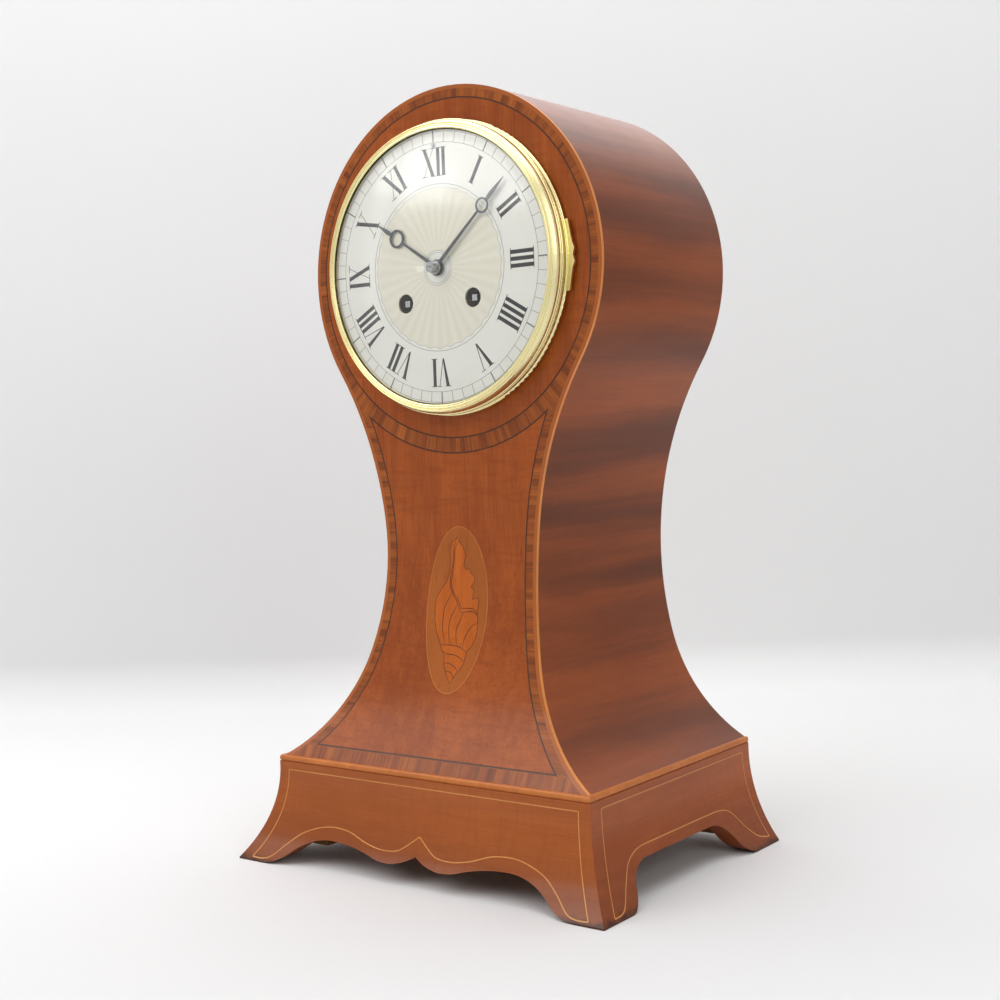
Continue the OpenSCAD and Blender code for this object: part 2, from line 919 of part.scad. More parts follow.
// Ornate thumb piece on the right of the bezel
module bezel_tab() {
  tall = 17.5;
  color("gold")
    difference() {
      along_y(head_y - bezel_foot - 1.7, head_y - bezel_foot - 0.4)
        translate([bezel_out, head_height])
          polygon([
            [-8, -tall], [0.6, -tall], [0.9, -0.9 * tall], [1.5, -0.7 * tall], [2.7, -0.36 * tall], [3.9, -0.19 * tall],
            [3, 0],
            [3.9, 0.19 * tall], [2.7, 0.36 * tall], [1.5, 0.7 * tall], [0.9, 0.9 * tall], [0.6, tall], [-8, tall]
          ]);
      turned()
        square([bezel_out + 0.05, glass_foot]);
    }
}

module bezel_pin() {
  color("gray")
    translate([hinge_x, hinge_y, head_height - hinge_half - 0.6])
      cylinder(h = 2 * hinge_half + 1.2, r = pin_radius, $fn = small);
}

module dial() {
  color("whitesmoke")
    difference() {
      union() {
        turned()
          translate([0, dial_stand - dial_wall])
            square([dial_radius, dial_wall]);
        for (turn = [90, 210, 330])
          rod(foot_ring * [cos(turn), sin(turn)], dial_face + dial_wall - 0.2, plate_front, 2);
      }
      rod([0, 0], dial_face - 1, dial_face + dial_wall + 1, hour_pipe + 0.8);
      rod(going_at, dial_face - 1, dial_face + dial_wall + 1, wind_hole);
      rod(strike_at, dial_face - 1, dial_face + dial_wall + 1, wind_hole);
      rod([0, rate_rise], dial_face - 1, dial_face + dial_wall + 1, arbor + run_clear);
    }
}

// Movement values
foot_ring = plate_radius - 5;
pillar_ring = plate_radius - 5;
hour_pipe = 2.9;
cannon_tube = 2;
hand_wall = 0.5;
hour_stand = dial_foot + dial_wall + 0.7;
minute_stand = hour_stand + hand_wall + 0.4;
pend_y = plate_rear + pendulum_back;
gong_y = inside_y - gong_stand;
gong_side = gong_radius - 0.75 * gong_step + gong_wire;
gong_lead = 5;
gong_seat = 6;
hammer_gap = 0.8;
tail_layer = pillar_length - 3;
click_gap = 0.3;
ratchet_radius = 9;

// Toothed outline: flat-topped teeth on a rim
module toothed(teeth, size, turn) {
  step = 360 / teeth;
  root = size * (teeth / 2 - 1.2);
  tip = size * (teeth / 2 + 0.9);
  rotate(turn)
    polygon([
      for (i = [0 : teeth - 1])
        for (k = [[-0.29, root], [-0.12, tip], [0.12, tip], [0.29, root]])
          k[1] * [cos((i + k[0]) * step), sin((i + k[0]) * step)]
    ]);
}

// Saw-toothed outline of ratchets and the escape wheel
module saw(teeth, radius, deep) {
  step = 360 / teeth;
  polygon([
    for (i = [0 : teeth - 1])
      for (k = [[0, radius - deep], [0.25, radius], [0.4, radius]])
        k[1] * [cos((i + k[0]) * step), sin((i + k[0]) * step)]
  ]);
}

// Flat piece of an outline at an arbor, between two depths
module disc_at(at, from, to) {
  translate([at[0], 0, head_height + at[1]])
    along_y(from, to)
      children();
}

// Arbor with thin pivots in both plates
module arbor_in_plates(at) {
  rod(at, plate_front, plate_rear, pivot);
  rod(at, plate_in + 0.4, plate_out - 0.4, arbor);
}

// Places of the pivots that run in both plates
pivots = [inter_at, third_at, anchor_at, pin_at, fly_at];

module front_plate() {
  color("goldenrod")
    difference() {
      rod([0, 0], plate_front, plate_in, plate_radius);
      for (at = pivots)
        rod(at, plate_front - 1, plate_in + 1, pivot + run_clear);
      rod(escape_at, plate_front - 1, plate_in + 1, fine_pivot + run_clear);
      for (at = [going_at, strike_at])
        rod(at, plate_front - 1, plate_in + 1, going_arbor_r + run_clear);
      rod(centre_at, plate_front - 1, plate_in + 1, arbor + run_clear);
      rod(hammer_at, plate_front - 1, plate_in + 1, pivot + run_clear);
      rod(motion_at, plate_front - 1, plate_in + 1, pivot);
    }
  color("goldenrod")
    rod(motion_at, plate_front - 5.4, plate_in, pivot);
}

module back_plate() {
  color("goldenrod")
    difference() {
      rod([0, 0], plate_out, plate_rear, plate_radius);
      for (at = pivots)
        rod(at, plate_out - 1, plate_rear + 1, pivot + run_clear);
      rod(escape_at, plate_out - 1, plate_rear + 1, fine_pivot + run_clear);
      for (at = [going_at, strike_at])
        rod(at, plate_out - 1, plate_rear + 1, arbor + run_clear);
      rod(centre_at, plate_out - 1, plate_rear + 1, pivot + run_clear);
      rod(hammer_at, plate_out - 1, plate_rear + 1, arbor + run_clear);
    }
}

module pillars() {
  color("gold")
    for (turn = [0, 62, 118, 180, 270]) {
      rod(pillar_ring * [cos(turn), sin(turn)], plate_in, plate_out, 2);
      rod(pillar_ring * [cos(turn), sin(turn)], plate_in, plate_in + 4, 2.6);
      rod(pillar_ring * [cos(turn), sin(turn)], plate_out - 4, plate_out, 2.6);
    }
}

module suspension_cock() {
  rise = anchor_at[1];
  color("gold")
    difference() {
      union() {
        translate([-5, plate_rear, head_height + rise + 4.5])
          cube([10, pendulum_back + 6, 5]);
        translate([-3, pend_y + 3, head_height + rise - 3])
          cube([6, 3, rate_rise - rise + 6]);
      }
      rod([0, rate_rise], pend_y, pend_y + 8, arbor + run_clear);
    }
  color("gray")
    rod(anchor_at, pend_y - 2.5, pend_y + 3.5, pin_radius);
}

module regulator_arbor() {
  color("silver") {
    rod([0, rate_rise], dial_face - 0.2, pend_y + 7, arbor);
    translate([-0.8, dial_face - 1, head_height + rate_rise - 0.8])
      cube([1.6, 1.2, 1.6]);
  }
}

// Ratchet click beside each winding arbor
module clicks() {
  color("gray")
    for (side = [0, 1])
      mirror([side, 0, 0])
        disc_at(going_at, plate_front - 1.8, plate_front) {
          rotate(100)
            translate([ratchet_radius + 3.5, 0])
              circle(r = 1.8, $fn = small);
          rotate(100)
            polygon([
              [ratchet_radius + 2.2, -5], [ratchet_radius + click_gap, -5], [ratchet_radius + click_gap + 0.4, -3.5],
              [ratchet_radius + 2.5, 1], [ratchet_radius + 4.5, 1]
            ]);
        }
}

// Winding arbor with its square and ratchet
module winding_arbor(at) {
  rod(at, plate_front - 6, plate_out - 0.4, going_arbor_r);
  rod(at, plate_out - 1, plate_rear, arbor);
  translate([at[0] - square_side / 2, plate_front - dial_foot + 0.5, head_height + at[1] - square_side / 2])
    cube([square_side, dial_foot - 6, square_side]);
  disc_at(at, plate_front - 1.8, plate_front - 0.6)
    saw(24, ratchet_radius, 1.2);
}

// Barrel with its great wheel, bored for the winding arbor
module barrel(at, turn) {
  difference() {
    union() {
      rod(at, plate_in + barrel_layer, plate_in + great_layer, barrel_radius);
      disc_at(at, plate_in + great_layer, plate_in + great_layer + great_wall)
        toothed(great_teeth, great_module, turn);
    }
    rod(at, plate_in, plate_out, going_arbor_r + run_clear);
  }
}

module going_barrel() {
  color("gold")
    barrel(going_at, 0);
}

module going_arbor() {
  color("silver")
    winding_arbor(going_at);
}

module strike_barrel() {
  color("gold")
    barrel(strike_at, 0);
}

module strike_arbor() {
  color("silver")
    winding_arbor(strike_at);
}

module intermediate_wheel() {
  color("khaki") {
    arbor_in_plates(inter_at);
    disc_at(inter_at, plate_in + great_layer - 0.5, plate_in + great_layer + great_wall + 0.5)
      toothed(great_pinion, great_module, inter_turn);
    disc_at(inter_at, plate_in + inter_layer, plate_in + inter_layer + wheel_wall)
      toothed(inter_teeth, inter_module, inter_turn);
  }
}

module centre_wheel() {
  color("khaki") {
    rod(centre_at, plate_front - minute_stand - hand_wall, plate_out - 0.4, arbor);
    rod(centre_at, plate_out - 1, plate_rear, pivot);
    disc_at(centre_at, plate_in + inter_layer - 0.4, plate_in + inter_layer + wheel_wall + 0.4)
      toothed(centre_pinion, inter_module, centre_turn);
    disc_at(centre_at, plate_in + centre_layer, plate_in + centre_layer + wheel_wall)
      toothed(centre_teeth, centre_module, centre_turn);
  }
}

module third_wheel() {
  color("khaki") {
    arbor_in_plates(third_at);
    disc_at(third_at, plate_in + centre_layer - 0.3, plate_in + centre_layer + wheel_wall + 0.4)
      toothed(third_pinion, centre_module, third_turn);
    disc_at(third_at, plate_in + third_layer, plate_in + third_layer + wheel_wall)
      toothed(third_teeth, third_module, third_turn);
  }
}

module escape_wheel() {
  color("khaki") {
    rod(escape_at, plate_front, plate_rear, fine_pivot);
    disc_at(escape_at, plate_in + third_layer - 0.4, plate_in + third_layer + wheel_wall + 0.4)
      toothed(escape_pinion, third_module, escape_turn);
    disc_at(escape_at, plate_in + escape_layer, plate_in + escape_layer + wheel_wall)
      saw(escape_teeth, escape_radius, 1.6);
  }
}

// Anchor with its two pallets, its arbor and the crutch behind the back plate
module anchor() {
  reach = escape_radius + 0.5;
  rise = anchor_at[1] - escape_rise;
  fork = 34;
  color("gray") {
    rod(anchor_at, plate_front, plate_rear + 3, pivot);
    disc_at(escape_at, plate_in + escape_layer - 0.5, plate_in + escape_layer + wheel_wall + 0.5)
      difference() {
        union() {
          translate([0, rise])
            circle(r = 2.4, $fn = small);
          intersection() {
            difference() {
              circle(r = rise + 1.2, $fn = exact);
              circle(r = reach, $fn = exact);
            }
            polygon([[0, 0], [2 * rise * sin(anchor_half), 2 * rise * cos(anchor_half)], [0, 2 * rise],
              [-2 * rise * sin(anchor_half), 2 * rise * cos(anchor_half)]]);
          }
        }
        circle(r = reach, $fn = exact);
      }
    translate([-1, plate_rear + 1, head_height + anchor_at[1] - fork])
      cube([2, 1.6, fork]);
    translate([-2.9, plate_rear + 1, head_height + anchor_at[1] - fork - 1])
      cube([5.8, 1.6, 2]);
    for (side = [-1, 1])
      rod([side * 2.2, anchor_at[1] - fork], plate_rear + 1, pend_y + 2, 0.6);
  }
}

module pendulum_rod() {
  color("goldenrod")
    difference() {
      union() {
        rod(anchor_at, pend_y - 1.5, pend_y + 1.5, 2.2);
        translate([0, pend_y, head_height + anchor_at[1] - pendulum_length - bob_radius - 6])
          cylinder(h = pendulum_length + bob_radius + 5, r = 1.2, $fn = small);
        translate([0, pend_y, head_height + anchor_at[1] - pendulum_length - bob_radius - 5])
          cylinder(h = 3, r = 3.4, $fn = small);
      }
      rod(anchor_at, pend_y - 4, pend_y + 4, pin_radius + run_clear);
    }
}

// Bob: a disc with two domed faces, bored for the rod
module pendulum_bob() {
  rim = 3.4;
  swell = 3.3;
  dome = (bob_radius * bob_radius + swell * swell) / (2 * swell);
  color("gold")
    difference() {
      translate([0, pend_y, head_height + anchor_at[1] - pendulum_length])
        rotate([90, 0, 0])
          rotate_extrude($fn = exact) {
            translate([0, -rim / 2])
              square([bob_radius, rim]);
            for (side = [0, 1])
              mirror([0, side])
                intersection() {
                  translate([0, rim / 2 + swell - dome])
                    circle(r = dome, $fn = exact);
                  square([bob_radius, rim + swell]);
                }
          }
      translate([0, pend_y, head_height + anchor_at[1] - pendulum_length - 2 * bob_radius])
        cylinder(h = 4 * bob_radius, r = 1.2, $fn = small);
    }
}

module pin_wheel() {
  color("khaki") {
    arbor_in_plates(pin_at);
    disc_at(pin_at, plate_in + great_layer - 0.5, plate_in + great_layer + great_wall + 0.5)
      toothed(great_pinion, great_module, pin_wheel_turn);
    disc_at(pin_at, plate_in + inter_layer, plate_in + inter_layer + wheel_wall)
      toothed(pin_teeth, pin_module, pin_wheel_turn);
    for (i = [0 : 9])
      rod(pin_at + 10 * [cos(36 * i), sin(36 * i)], plate_in + inter_layer, plate_in + inter_layer + 4, 0.5);
  }
}

module fly() {
  color("khaki") {
    arbor_in_plates(fly_at);
    disc_at(fly_at, plate_in + inter_layer - 0.4, plate_in + inter_layer + wheel_wall + 0.4)
      toothed(fly_leaves, pin_module, fly_turn);
    translate([fly_at[0] - vane_half, plate_in + 5, head_height + fly_at[1] - 0.4])
      cube([2 * vane_half, 16, 0.8]);
  }
}

// Hammer: an arbor through the back plate, a tail near the pins and an arm down to the gong
module hammer() {
  drop = head_height + hammer_at[1] - gong_height;
  tail = norm(pin_at - hammer_at) - 10 - 1.2;
  color("silver") {
    rod(hammer_at, plate_front, plate_in + 1, pivot);
    rod(hammer_at, plate_in + 0.4, gong_y + 1.5, arbor);
    disc_at(hammer_at, plate_in + tail_layer, plate_in + tail_layer + 1.4)
      rotate(toward(hammer_at, pin_at))
        translate([0, -0.9])
          square([tail, 1.8]);
    translate([hammer_at[0], gong_y, gong_height])
      cylinder(h = drop, r = 1, $fn = small);
    translate([hammer_at[0] - 3, gong_y, gong_height])
      rotate([0, 90, 0])
        cylinder(h = 3 - hammer_at[0] - gong_side - hammer_gap, r = 4.5, $fn = small);
  }
}

// Gong: one wire wound inward in a flat coil, with a straight lead into its block
gong_rings = 24;
gong_sides = 6;
gong_spots = concat(
  [[-gong_lead - gong_seat, -gong_radius, 0, -1]],
  [
    for (i = [0 : gong_rings * gong_loops])
      let (turn = 360 * i / gong_rings - 90, r = gong_radius - gong_step * i / gong_rings)
      [r * cos(turn), r * sin(turn), cos(turn), sin(turn)]
  ]
);
gong_points = [
  for (spot = gong_spots)
    for (k = [0 : gong_sides - 1])
      let (turn = 360 * k / gong_sides)
      [
        spot[0] + gong_wire * cos(turn) * spot[2],
        gong_wire * sin(turn),
        spot[1] + gong_wire * cos(turn) * spot[3]
      ]
];
gong_last = len(gong_spots) - 1;
gong_faces = concat(
  [for (k = [1 : gong_sides - 2]) [0, k, k + 1]],
  [
    for (i = [0 : gong_last - 1])
      for (k = [0 : gong_sides - 1])
        let (a = i * gong_sides + k, b = i * gong_sides + (k + 1) % gong_sides)
        each [[a, a + gong_sides, b], [b, a + gong_sides, b + gong_sides]]
  ],
  [for (k = [1 : gong_sides - 2]) let (a = gong_last * gong_sides) [a, a + k + 1, a + k]]
);
gong_least = min([
  for (i = [1 : gong_last - gong_rings])
    let (a = gong_spots[i], b = gong_spots[i + gong_rings])
    norm([a[0] - b[0], a[1] - b[1]]) - 2 * gong_wire
]);
echo(gong_least_gap = gong_least);

module gong() {
  color("steelblue")
    translate([0, gong_y, gong_height])
      polyhedron(points = gong_points, faces = gong_faces);
}

module gong_block() {
  color("dimgray")
    difference() {
      translate([-gong_lead - 10, gong_y - 5, gong_height - gong_radius - 10])
        cube([10, inside_y - gong_y + 5, 12]);
      translate([-gong_lead - gong_seat, gong_y, gong_height - gong_radius])
        rotate([0, 90, 0])
          cylinder(h = gong_seat + 1, r = gong_wire + run_clear, $fn = small);
    }
}

// Straps that draw the front seat and the rear ring together
strap_x = case_hole - 7;
screw_x = strap_x - 3;
screw_radius = 1.3;
screw_head = 2;

module movement_straps() {
  color("silver")
    for (side = [0, 1])
      mirror([side, 0, 0]) {
        translate([strap_x, head_y, head_height - 4])
          cube([1.6, board_y - head_y, 8]);
        difference() {
          translate([strap_x - 5, board_y - 6, head_height - 4])
            cube([6, 6, 8]);
          rod([screw_x, 0], board_y - 8, board_y + 1, screw_radius);
        }
      }
}

module strap_screws() {
  color("gray")
    for (side = [-1, 1]) {
      rod([side * screw_x, 0], board_y - 5, board_y + door_wall, screw_radius);
      rod([side * screw_x, 0], board_y + door_wall, board_y + door_wall + 0.9, screw_head);
    }
}

// Rear ring and door
ring_in = door_radius - 4;
ring_out = case_hole + ring_bearing;
door_y = board_y + door_wall + 1.1;
door_hinge_x = -(door_radius + knuckle + 0.6);
door_hinge_y = board_y + door_wall + knuckle + 0.2;
door_half = 14;
door_third = door_half * 0.4;

module rear_ring() {
  color("goldenrod")
    difference() {
      union() {
        along_y(board_y, board_y + door_wall)
          translate([0, head_height])
            difference() {
              circle(r = ring_out, $fn = exact);
              circle(r = ring_in, $fn = exact);
            }
        for (low = [-door_half, door_third]) {
          knuckle_at(door_hinge_x, door_hinge_y, low, low + door_half - door_third);
          difference() {
            translate([door_hinge_x - knuckle, board_y + door_wall - 0.5, head_height + low])
              cube([2 * knuckle, door_hinge_y - board_y - door_wall + 0.5, door_half - door_third]);
            translate([door_hinge_x, door_hinge_y, head_height + low - 1])
              cylinder(h = door_half, r = pin_radius + run_clear, $fn = small);
          }
        }
      }
      for (side = [-1, 1])
        rod([side * screw_x, 0], board_y - 1, board_y + door_wall + 1, screw_radius);
    }
}

module rear_door() {
  color("gold") {
    difference() {
      along_y(door_y, door_y + door_wall)
        translate([0, head_height])
          circle(r = door_radius, $fn = exact);
      translate([door_hinge_x, door_hinge_y, head_height - door_half - 2])
        cylinder(h = 2 * door_half + 4, r = knuckle + 0.4, $fn = small);
    }
    knuckle_at(door_hinge_x, door_hinge_y, -door_third + 0.3, door_third - 0.3);
    difference() {
      translate([door_hinge_x, door_y, head_height - door_third + 0.3])
        cube([knuckle + 4, door_wall, 2 * door_third - 0.6]);
      translate([door_hinge_x, door_hinge_y, head_height - door_third])
        cylinder(h = 2 * door_third, r = pin_radius + run_clear, $fn = small);
    }
  }
}

module door_knob() {
  color("gold")
    translate([door_radius - 9, door_y + door_wall, head_height])
      rotate([-90, 0, 0])
        rotate_extrude($fn = small) {
          square([knob_radius * 0.5, 3]);
          translate([0, 3])
            intersection() {
              circle(r = knob_radius, $fn = small);
              translate([0, -1.5])
                square([knob_radius, knob_radius + 1.5]);
            }
        }
}

module door_pin() {
  color("gray")
    translate([door_hinge_x, door_hinge_y, head_height - door_half - 0.6])
      cylinder(h = 2 * door_half + 1.2, r = pin_radius, $fn = small);
}

// Outline of a hand pointing up: boss, tapered stem, ring and leaf
module hand_outline(boss, length, eye, ring, hole) {
  difference() {
    union() {
      circle(r = boss, $fn = small);
      polygon([[-1, 0], [1, 0], [0.55, eye - ring + 0.3], [-0.55, eye - ring + 0.3]]);
      translate([0, eye])
        circle(r = ring, $fn = small);
      polygon([
        [-0.7, eye + ring - 0.3], [0.7, eye + ring - 0.3], [1.2, eye + (length - eye) * 0.42], [0, length],
        [-1.2, eye + (length - eye) * 0.42]
      ]);
    }
    translate([0, eye])
      circle(r = hole, $fn = small);
  }
}

module cannon_pinion() {
  color("silver")
    difference() {
      union() {
        rod(centre_at, plate_front - minute_stand - hand_wall, plate_front - motion_gap, cannon_tube);
        disc_at(centre_at, plate_front - motion_gap - motion_wall - 0.3, plate_front - motion_gap + 0.2)
          toothed(cannon_leaves, motion_module, 0);
      }
      rod(centre_at, plate_front - far / 4, plate_front + 1, arbor + run_clear);
    }
}

module minute_hand() {
  color("dimgray")
    difference() {
      disc_at(centre_at, plate_front - minute_stand - hand_wall, plate_front - minute_stand)
        rotate(-minute_angle)
          hand_outline(3.2, minute_length, minute_length * 0.69, 4, 3);
      rod(centre_at, plate_front - far / 4, plate_front + 1, cannon_tube);
    }
}

module hand_nut() {
  base = plate_front - minute_stand - hand_wall;
  color("gray")
    difference() {
      union() {
        rod(centre_at, base - 1, base, 3.6);
        rod(centre_at, base - 4.6, base - 1, 2.7);
      }
      translate([-4, base - 5, head_height - 0.4])
        cube([8, 1.4, 0.8]);
    }
}

module motion_wheel() {
  color("khaki")
    difference() {
      union() {
        disc_at(motion_at, plate_front - motion_gap - motion_wall, plate_front - motion_gap)
          toothed(motion_teeth, motion_module, motion_turn);
        disc_at(motion_at, plate_front - motion_gap - motion_wall - 2, plate_front - motion_gap - motion_wall)
          toothed(motion_leaves, hour_module, motion_turn);
      }
      rod(motion_at, plate_front - 10, plate_front + 1, pivot + run_clear);
    }
}

module hour_wheel() {
  face = plate_front - motion_gap - motion_wall - 0.5;
  color("khaki")
    difference() {
      union() {
        disc_at(centre_at, face - motion_wall, face)
          toothed(hour_teeth, hour_module, hour_turn);
        rod(centre_at, plate_front - hour_stand - hand_wall, face, hour_pipe);
      }
      rod(centre_at, plate_front - far / 4, plate_front + 1, cannon_tube + run_clear);
    }
}

module hour_hand() {
  color("dimgray")
    difference() {
      disc_at(centre_at, plate_front - hour_stand - hand_wall, plate_front - hour_stand)
        rotate(-hour_angle)
          hand_outline(4.2, hour_length, hour_length * 0.65, 4.8, 3.6);
      rod(centre_at, plate_front - far / 4, plate_front + 1, hour_pipe);
    }
}

case_band();
left_side();
right_side();
front_board();
head_veneer();
field_veneer();
crossbanding();
ebony_line();
boxwood_string();
patera_ground();
shell_inlay();
back_board();
floor_board();
plinth_top();
plinth_edge();
plinth_front();
plinth_left();
plinth_right();
plinth_back();
corner_blocks();
dial_seat();
dial();
movement_straps();
strap_screws();
rear_ring();
front_plate();
back_plate();
pillars();
suspension_cock();
gong();
gong_block();
clicks();
regulator_arbor();
bezel();
glass();
bezel_tab();
bezel_pin();
rear_door();
door_knob();
door_pin();
cannon_pinion();
minute_hand();
hand_nut();
motion_wheel();
hour_wheel();
hour_hand();
going_barrel();
going_arbor();
intermediate_wheel();
centre_wheel();
third_wheel();
escape_wheel();
anchor();
pendulum_rod();
pendulum_bob();
strike_barrel();
strike_arbor();
pin_wheel();
fly();
hammer();
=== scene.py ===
"""Looks of the balloon clock: polished veneers, reeded brass, a silvered dial and fine stringing."""

import json
import math

import bmesh
import bpy
from mathutils import Matrix, Vector


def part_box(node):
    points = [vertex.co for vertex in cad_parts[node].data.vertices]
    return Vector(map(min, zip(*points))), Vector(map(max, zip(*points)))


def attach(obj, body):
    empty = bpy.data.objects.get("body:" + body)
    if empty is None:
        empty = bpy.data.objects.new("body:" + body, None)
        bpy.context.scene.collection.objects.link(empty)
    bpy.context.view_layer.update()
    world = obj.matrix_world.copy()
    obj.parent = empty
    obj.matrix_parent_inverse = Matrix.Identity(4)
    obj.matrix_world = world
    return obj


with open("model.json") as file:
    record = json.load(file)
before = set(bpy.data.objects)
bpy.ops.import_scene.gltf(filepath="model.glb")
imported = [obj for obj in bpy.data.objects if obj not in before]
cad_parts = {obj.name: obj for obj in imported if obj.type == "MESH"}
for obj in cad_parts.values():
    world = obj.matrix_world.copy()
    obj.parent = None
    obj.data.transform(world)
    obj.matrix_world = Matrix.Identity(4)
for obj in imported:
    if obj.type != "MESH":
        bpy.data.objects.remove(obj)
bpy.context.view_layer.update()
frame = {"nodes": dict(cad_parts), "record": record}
nodes = frame["nodes"]

MM = 0.001

# Places read from the CAD nodes, in metres
FRONT_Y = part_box("head_veneer")[0][1]
DIAL_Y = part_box("dial")[0][1]
HEAD_Z = (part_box("dial")[0][2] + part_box("dial")[1][2]) / 2
EDGE_LOW, EDGE_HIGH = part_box("plinth_edge")
PLINTH_Y = EDGE_LOW[1]
PLINTH_HALF = EDGE_HIGH[0]
OVAL_LOW, OVAL_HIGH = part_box("patera_ground")
OVAL_Z = (OVAL_LOW[2] + OVAL_HIGH[2]) / 2

# The swept front starts below SWEEP_Z and the plinth's cove below COVE_Z
SWEEP_Z = 182.5 * MM
SWEEP_R = 250 * MM
COVE_Z = 50 * MM
COVE_R = 79.5 * MM

# Rings and bars of the dial, in millimetres: radii from its centre, and half widths of the bars
NUMERAL_FOOT = 46.5
TRACK_INNER = 63.6
TRACK_OUTER = 69.0
FIVE_OUTER = 70.2
FIVE_HALF = 0.36
MINUTE_HALF = 0.11
CENTRE_RING = 42.6
WAVED_RING = 40.9
WAVE = 0.45
WAVES = 36
HUB_RINGS = (8.9, 7.8)

# The engine-turned centre and its border, in metres
TURNED_EDGE = 40.8 * MM
TURNED_WAVE = 0.5 * MM
TURNED_HOLE = (8.8 * MM, 9.0 * MM)
TURNED_BLEND = 0.2 * MM
RAY_PAIRS = 36
FINE_PAIRS = 180

# The crossbanding turns from the head to the sides at HEAD_BORDER, and to the foot at FOOT_Z
HEAD_BORDER = (97 * MM, 99 * MM)
HEAD_RADIUS = 90 * MM
FOOT_Z = EDGE_HIGH[2] + 6.3 * MM
FOOT_BLEND = 0.4 * MM

# French polish on the veneers: a clear coat over nearly matt wood
POLISH_COAT = 0.42
POLISH_SPECULAR = 0.02
POLISH_ROUGH = (0.28, 0.36)
COAT_ROUGH = 0.16
CORNER_COAT_ROUGH = 0.03
GRAIN_RELIEF = 0.14
GRAIN_DEPTH = 0.1 * MM
WORN_TOE = (0.035, 0.015, 0.01)


def front_y(z):
    """Depth of the swept front at a height."""
    drop = max(SWEEP_Z - z, 0)
    return FRONT_Y - SWEEP_R + math.sqrt(SWEEP_R**2 - drop**2)


def cove_out(z):
    """Reach of the plinth's cove past its top at a height."""
    drop = max(COVE_Z - z, 0)
    return COVE_R - math.sqrt(COVE_R**2 - drop**2)


# Shader helpers


def new_material(name):
    """Material with one Principled shader on its output."""
    mat = bpy.data.materials.new(name)
    mat.use_nodes = True
    tree = mat.node_tree
    tree.nodes.clear()
    out = tree.nodes.new("ShaderNodeOutputMaterial")
    shader = tree.nodes.new("ShaderNodeBsdfPrincipled")
    tree.links.new(shader.outputs["BSDF"], out.inputs["Surface"])
    return mat, tree, shader


def feed(tree, socket, value):
    """Sets a socket to a constant, or links it to another socket."""
    if isinstance(value, bpy.types.NodeSocket):
        tree.links.new(value, socket)
    elif isinstance(value, (tuple, list)) and len(value) == 3 and socket.type == "RGBA":
        socket.default_value = (*value, 1)
    else:
        socket.default_value = value


def dress(tree, shader, values):
    """Sets or links a shader's sockets by their names."""
    for name, value in values.items():
        feed(tree, shader.inputs[name], value)


def calc(tree, operation, a, b=0.0):
    """Result of a math node."""
    n = tree.nodes.new("ShaderNodeMath")
    n.operation = operation
    feed(tree, n.inputs[0], a)
    feed(tree, n.inputs[1], b)
    return n.outputs[0]


def plus(tree, a, b):
    return calc(tree, "ADD", a, b)


def minus(tree, a, b):
    return calc(tree, "SUBTRACT", a, b)


def times(tree, a, b):
    return calc(tree, "MULTIPLY", a, b)


def choose(tree, mask, inside, outside):
    """One value where the mask is 1 and another where it is 0."""
    return plus(tree, times(tree, mask, inside), times(tree, minus(tree, 1.0, mask), outside))


def stretch(tree, vector, factors):
    """Vector scaled by its own factor on each axis."""
    n = tree.nodes.new("ShaderNodeVectorMath")
    n.operation = "MULTIPLY"
    feed(tree, n.inputs[0], vector)
    feed(tree, n.inputs[1], factors)
    return n.outputs[0]


def join(tree, x, y, z):
    """Vector made of three values."""
    n = tree.nodes.new("ShaderNodeCombineXYZ")
    for socket, value in zip(n.inputs, (x, y, z)):
        feed(tree, socket, value)
    return n.outputs[0]


def parts_of(tree, vector):
    """The three values of a vector."""
    n = tree.nodes.new("ShaderNodeSeparateXYZ")
    feed(tree, n.inputs[0], vector)
    return n.outputs[0], n.outputs[1], n.outputs[2]


def noise(tree, vector, scale=1.0, detail=3.0, rough=0.55, distortion=0.0):
    """Soft noise of about 0 to 1."""
    n = tree.nodes.new("ShaderNodeTexNoise")
    dress(tree, n, {"Vector": vector, "Scale": scale, "Detail": detail})
    dress(tree, n, {"Roughness": rough, "Distortion": distortion})
    return n.outputs["Fac"]


def remap(tree, value, low, high, to_low=0.0, to_high=1.0):
    """Smooth step from one range to another."""
    n = tree.nodes.new("ShaderNodeMapRange")
    n.interpolation_type = "SMOOTHSTEP"
    values = {"Value": value, "From Min": low, "From Max": high, "To Min": to_low, "To Max": to_high}
    dress(tree, n, values)
    return n.outputs["Result"]


def blend_colour(tree, factor, a, b):
    """Colour a where the factor is 0 and colour b where it is 1."""
    n = tree.nodes.new("ShaderNodeMix")
    n.data_type = "RGBA"
    feed(tree, n.inputs[0], factor)
    feed(tree, n.inputs[6], a)
    feed(tree, n.inputs[7], b)
    return n.outputs[2]


def bump(tree, height, strength, distance):
    """Normal of a fine relief."""
    n = tree.nodes.new("ShaderNodeBump")
    dress(tree, n, {"Height": height, "Strength": strength, "Distance": distance})
    return n.outputs["Normal"]


def mix_shaders(tree, factor, first, second):
    """Shows the first shader where the factor is 0 and the second where it is 1."""
    mix = tree.nodes.new("ShaderNodeMixShader")
    feed(tree, mix.inputs[0], factor)
    tree.links.new(first.outputs["BSDF"], mix.inputs[1])
    tree.links.new(second.outputs["BSDF"], mix.inputs[2])
    out = next(n for n in tree.nodes if n.type == "OUTPUT_MATERIAL")
    tree.links.new(mix.outputs[0], out.inputs["Surface"])


def own_place(tree):
    """The piece's own coordinates, which stay with it when it moves."""
    return tree.nodes.new("ShaderNodeTexCoord").outputs["Object"]


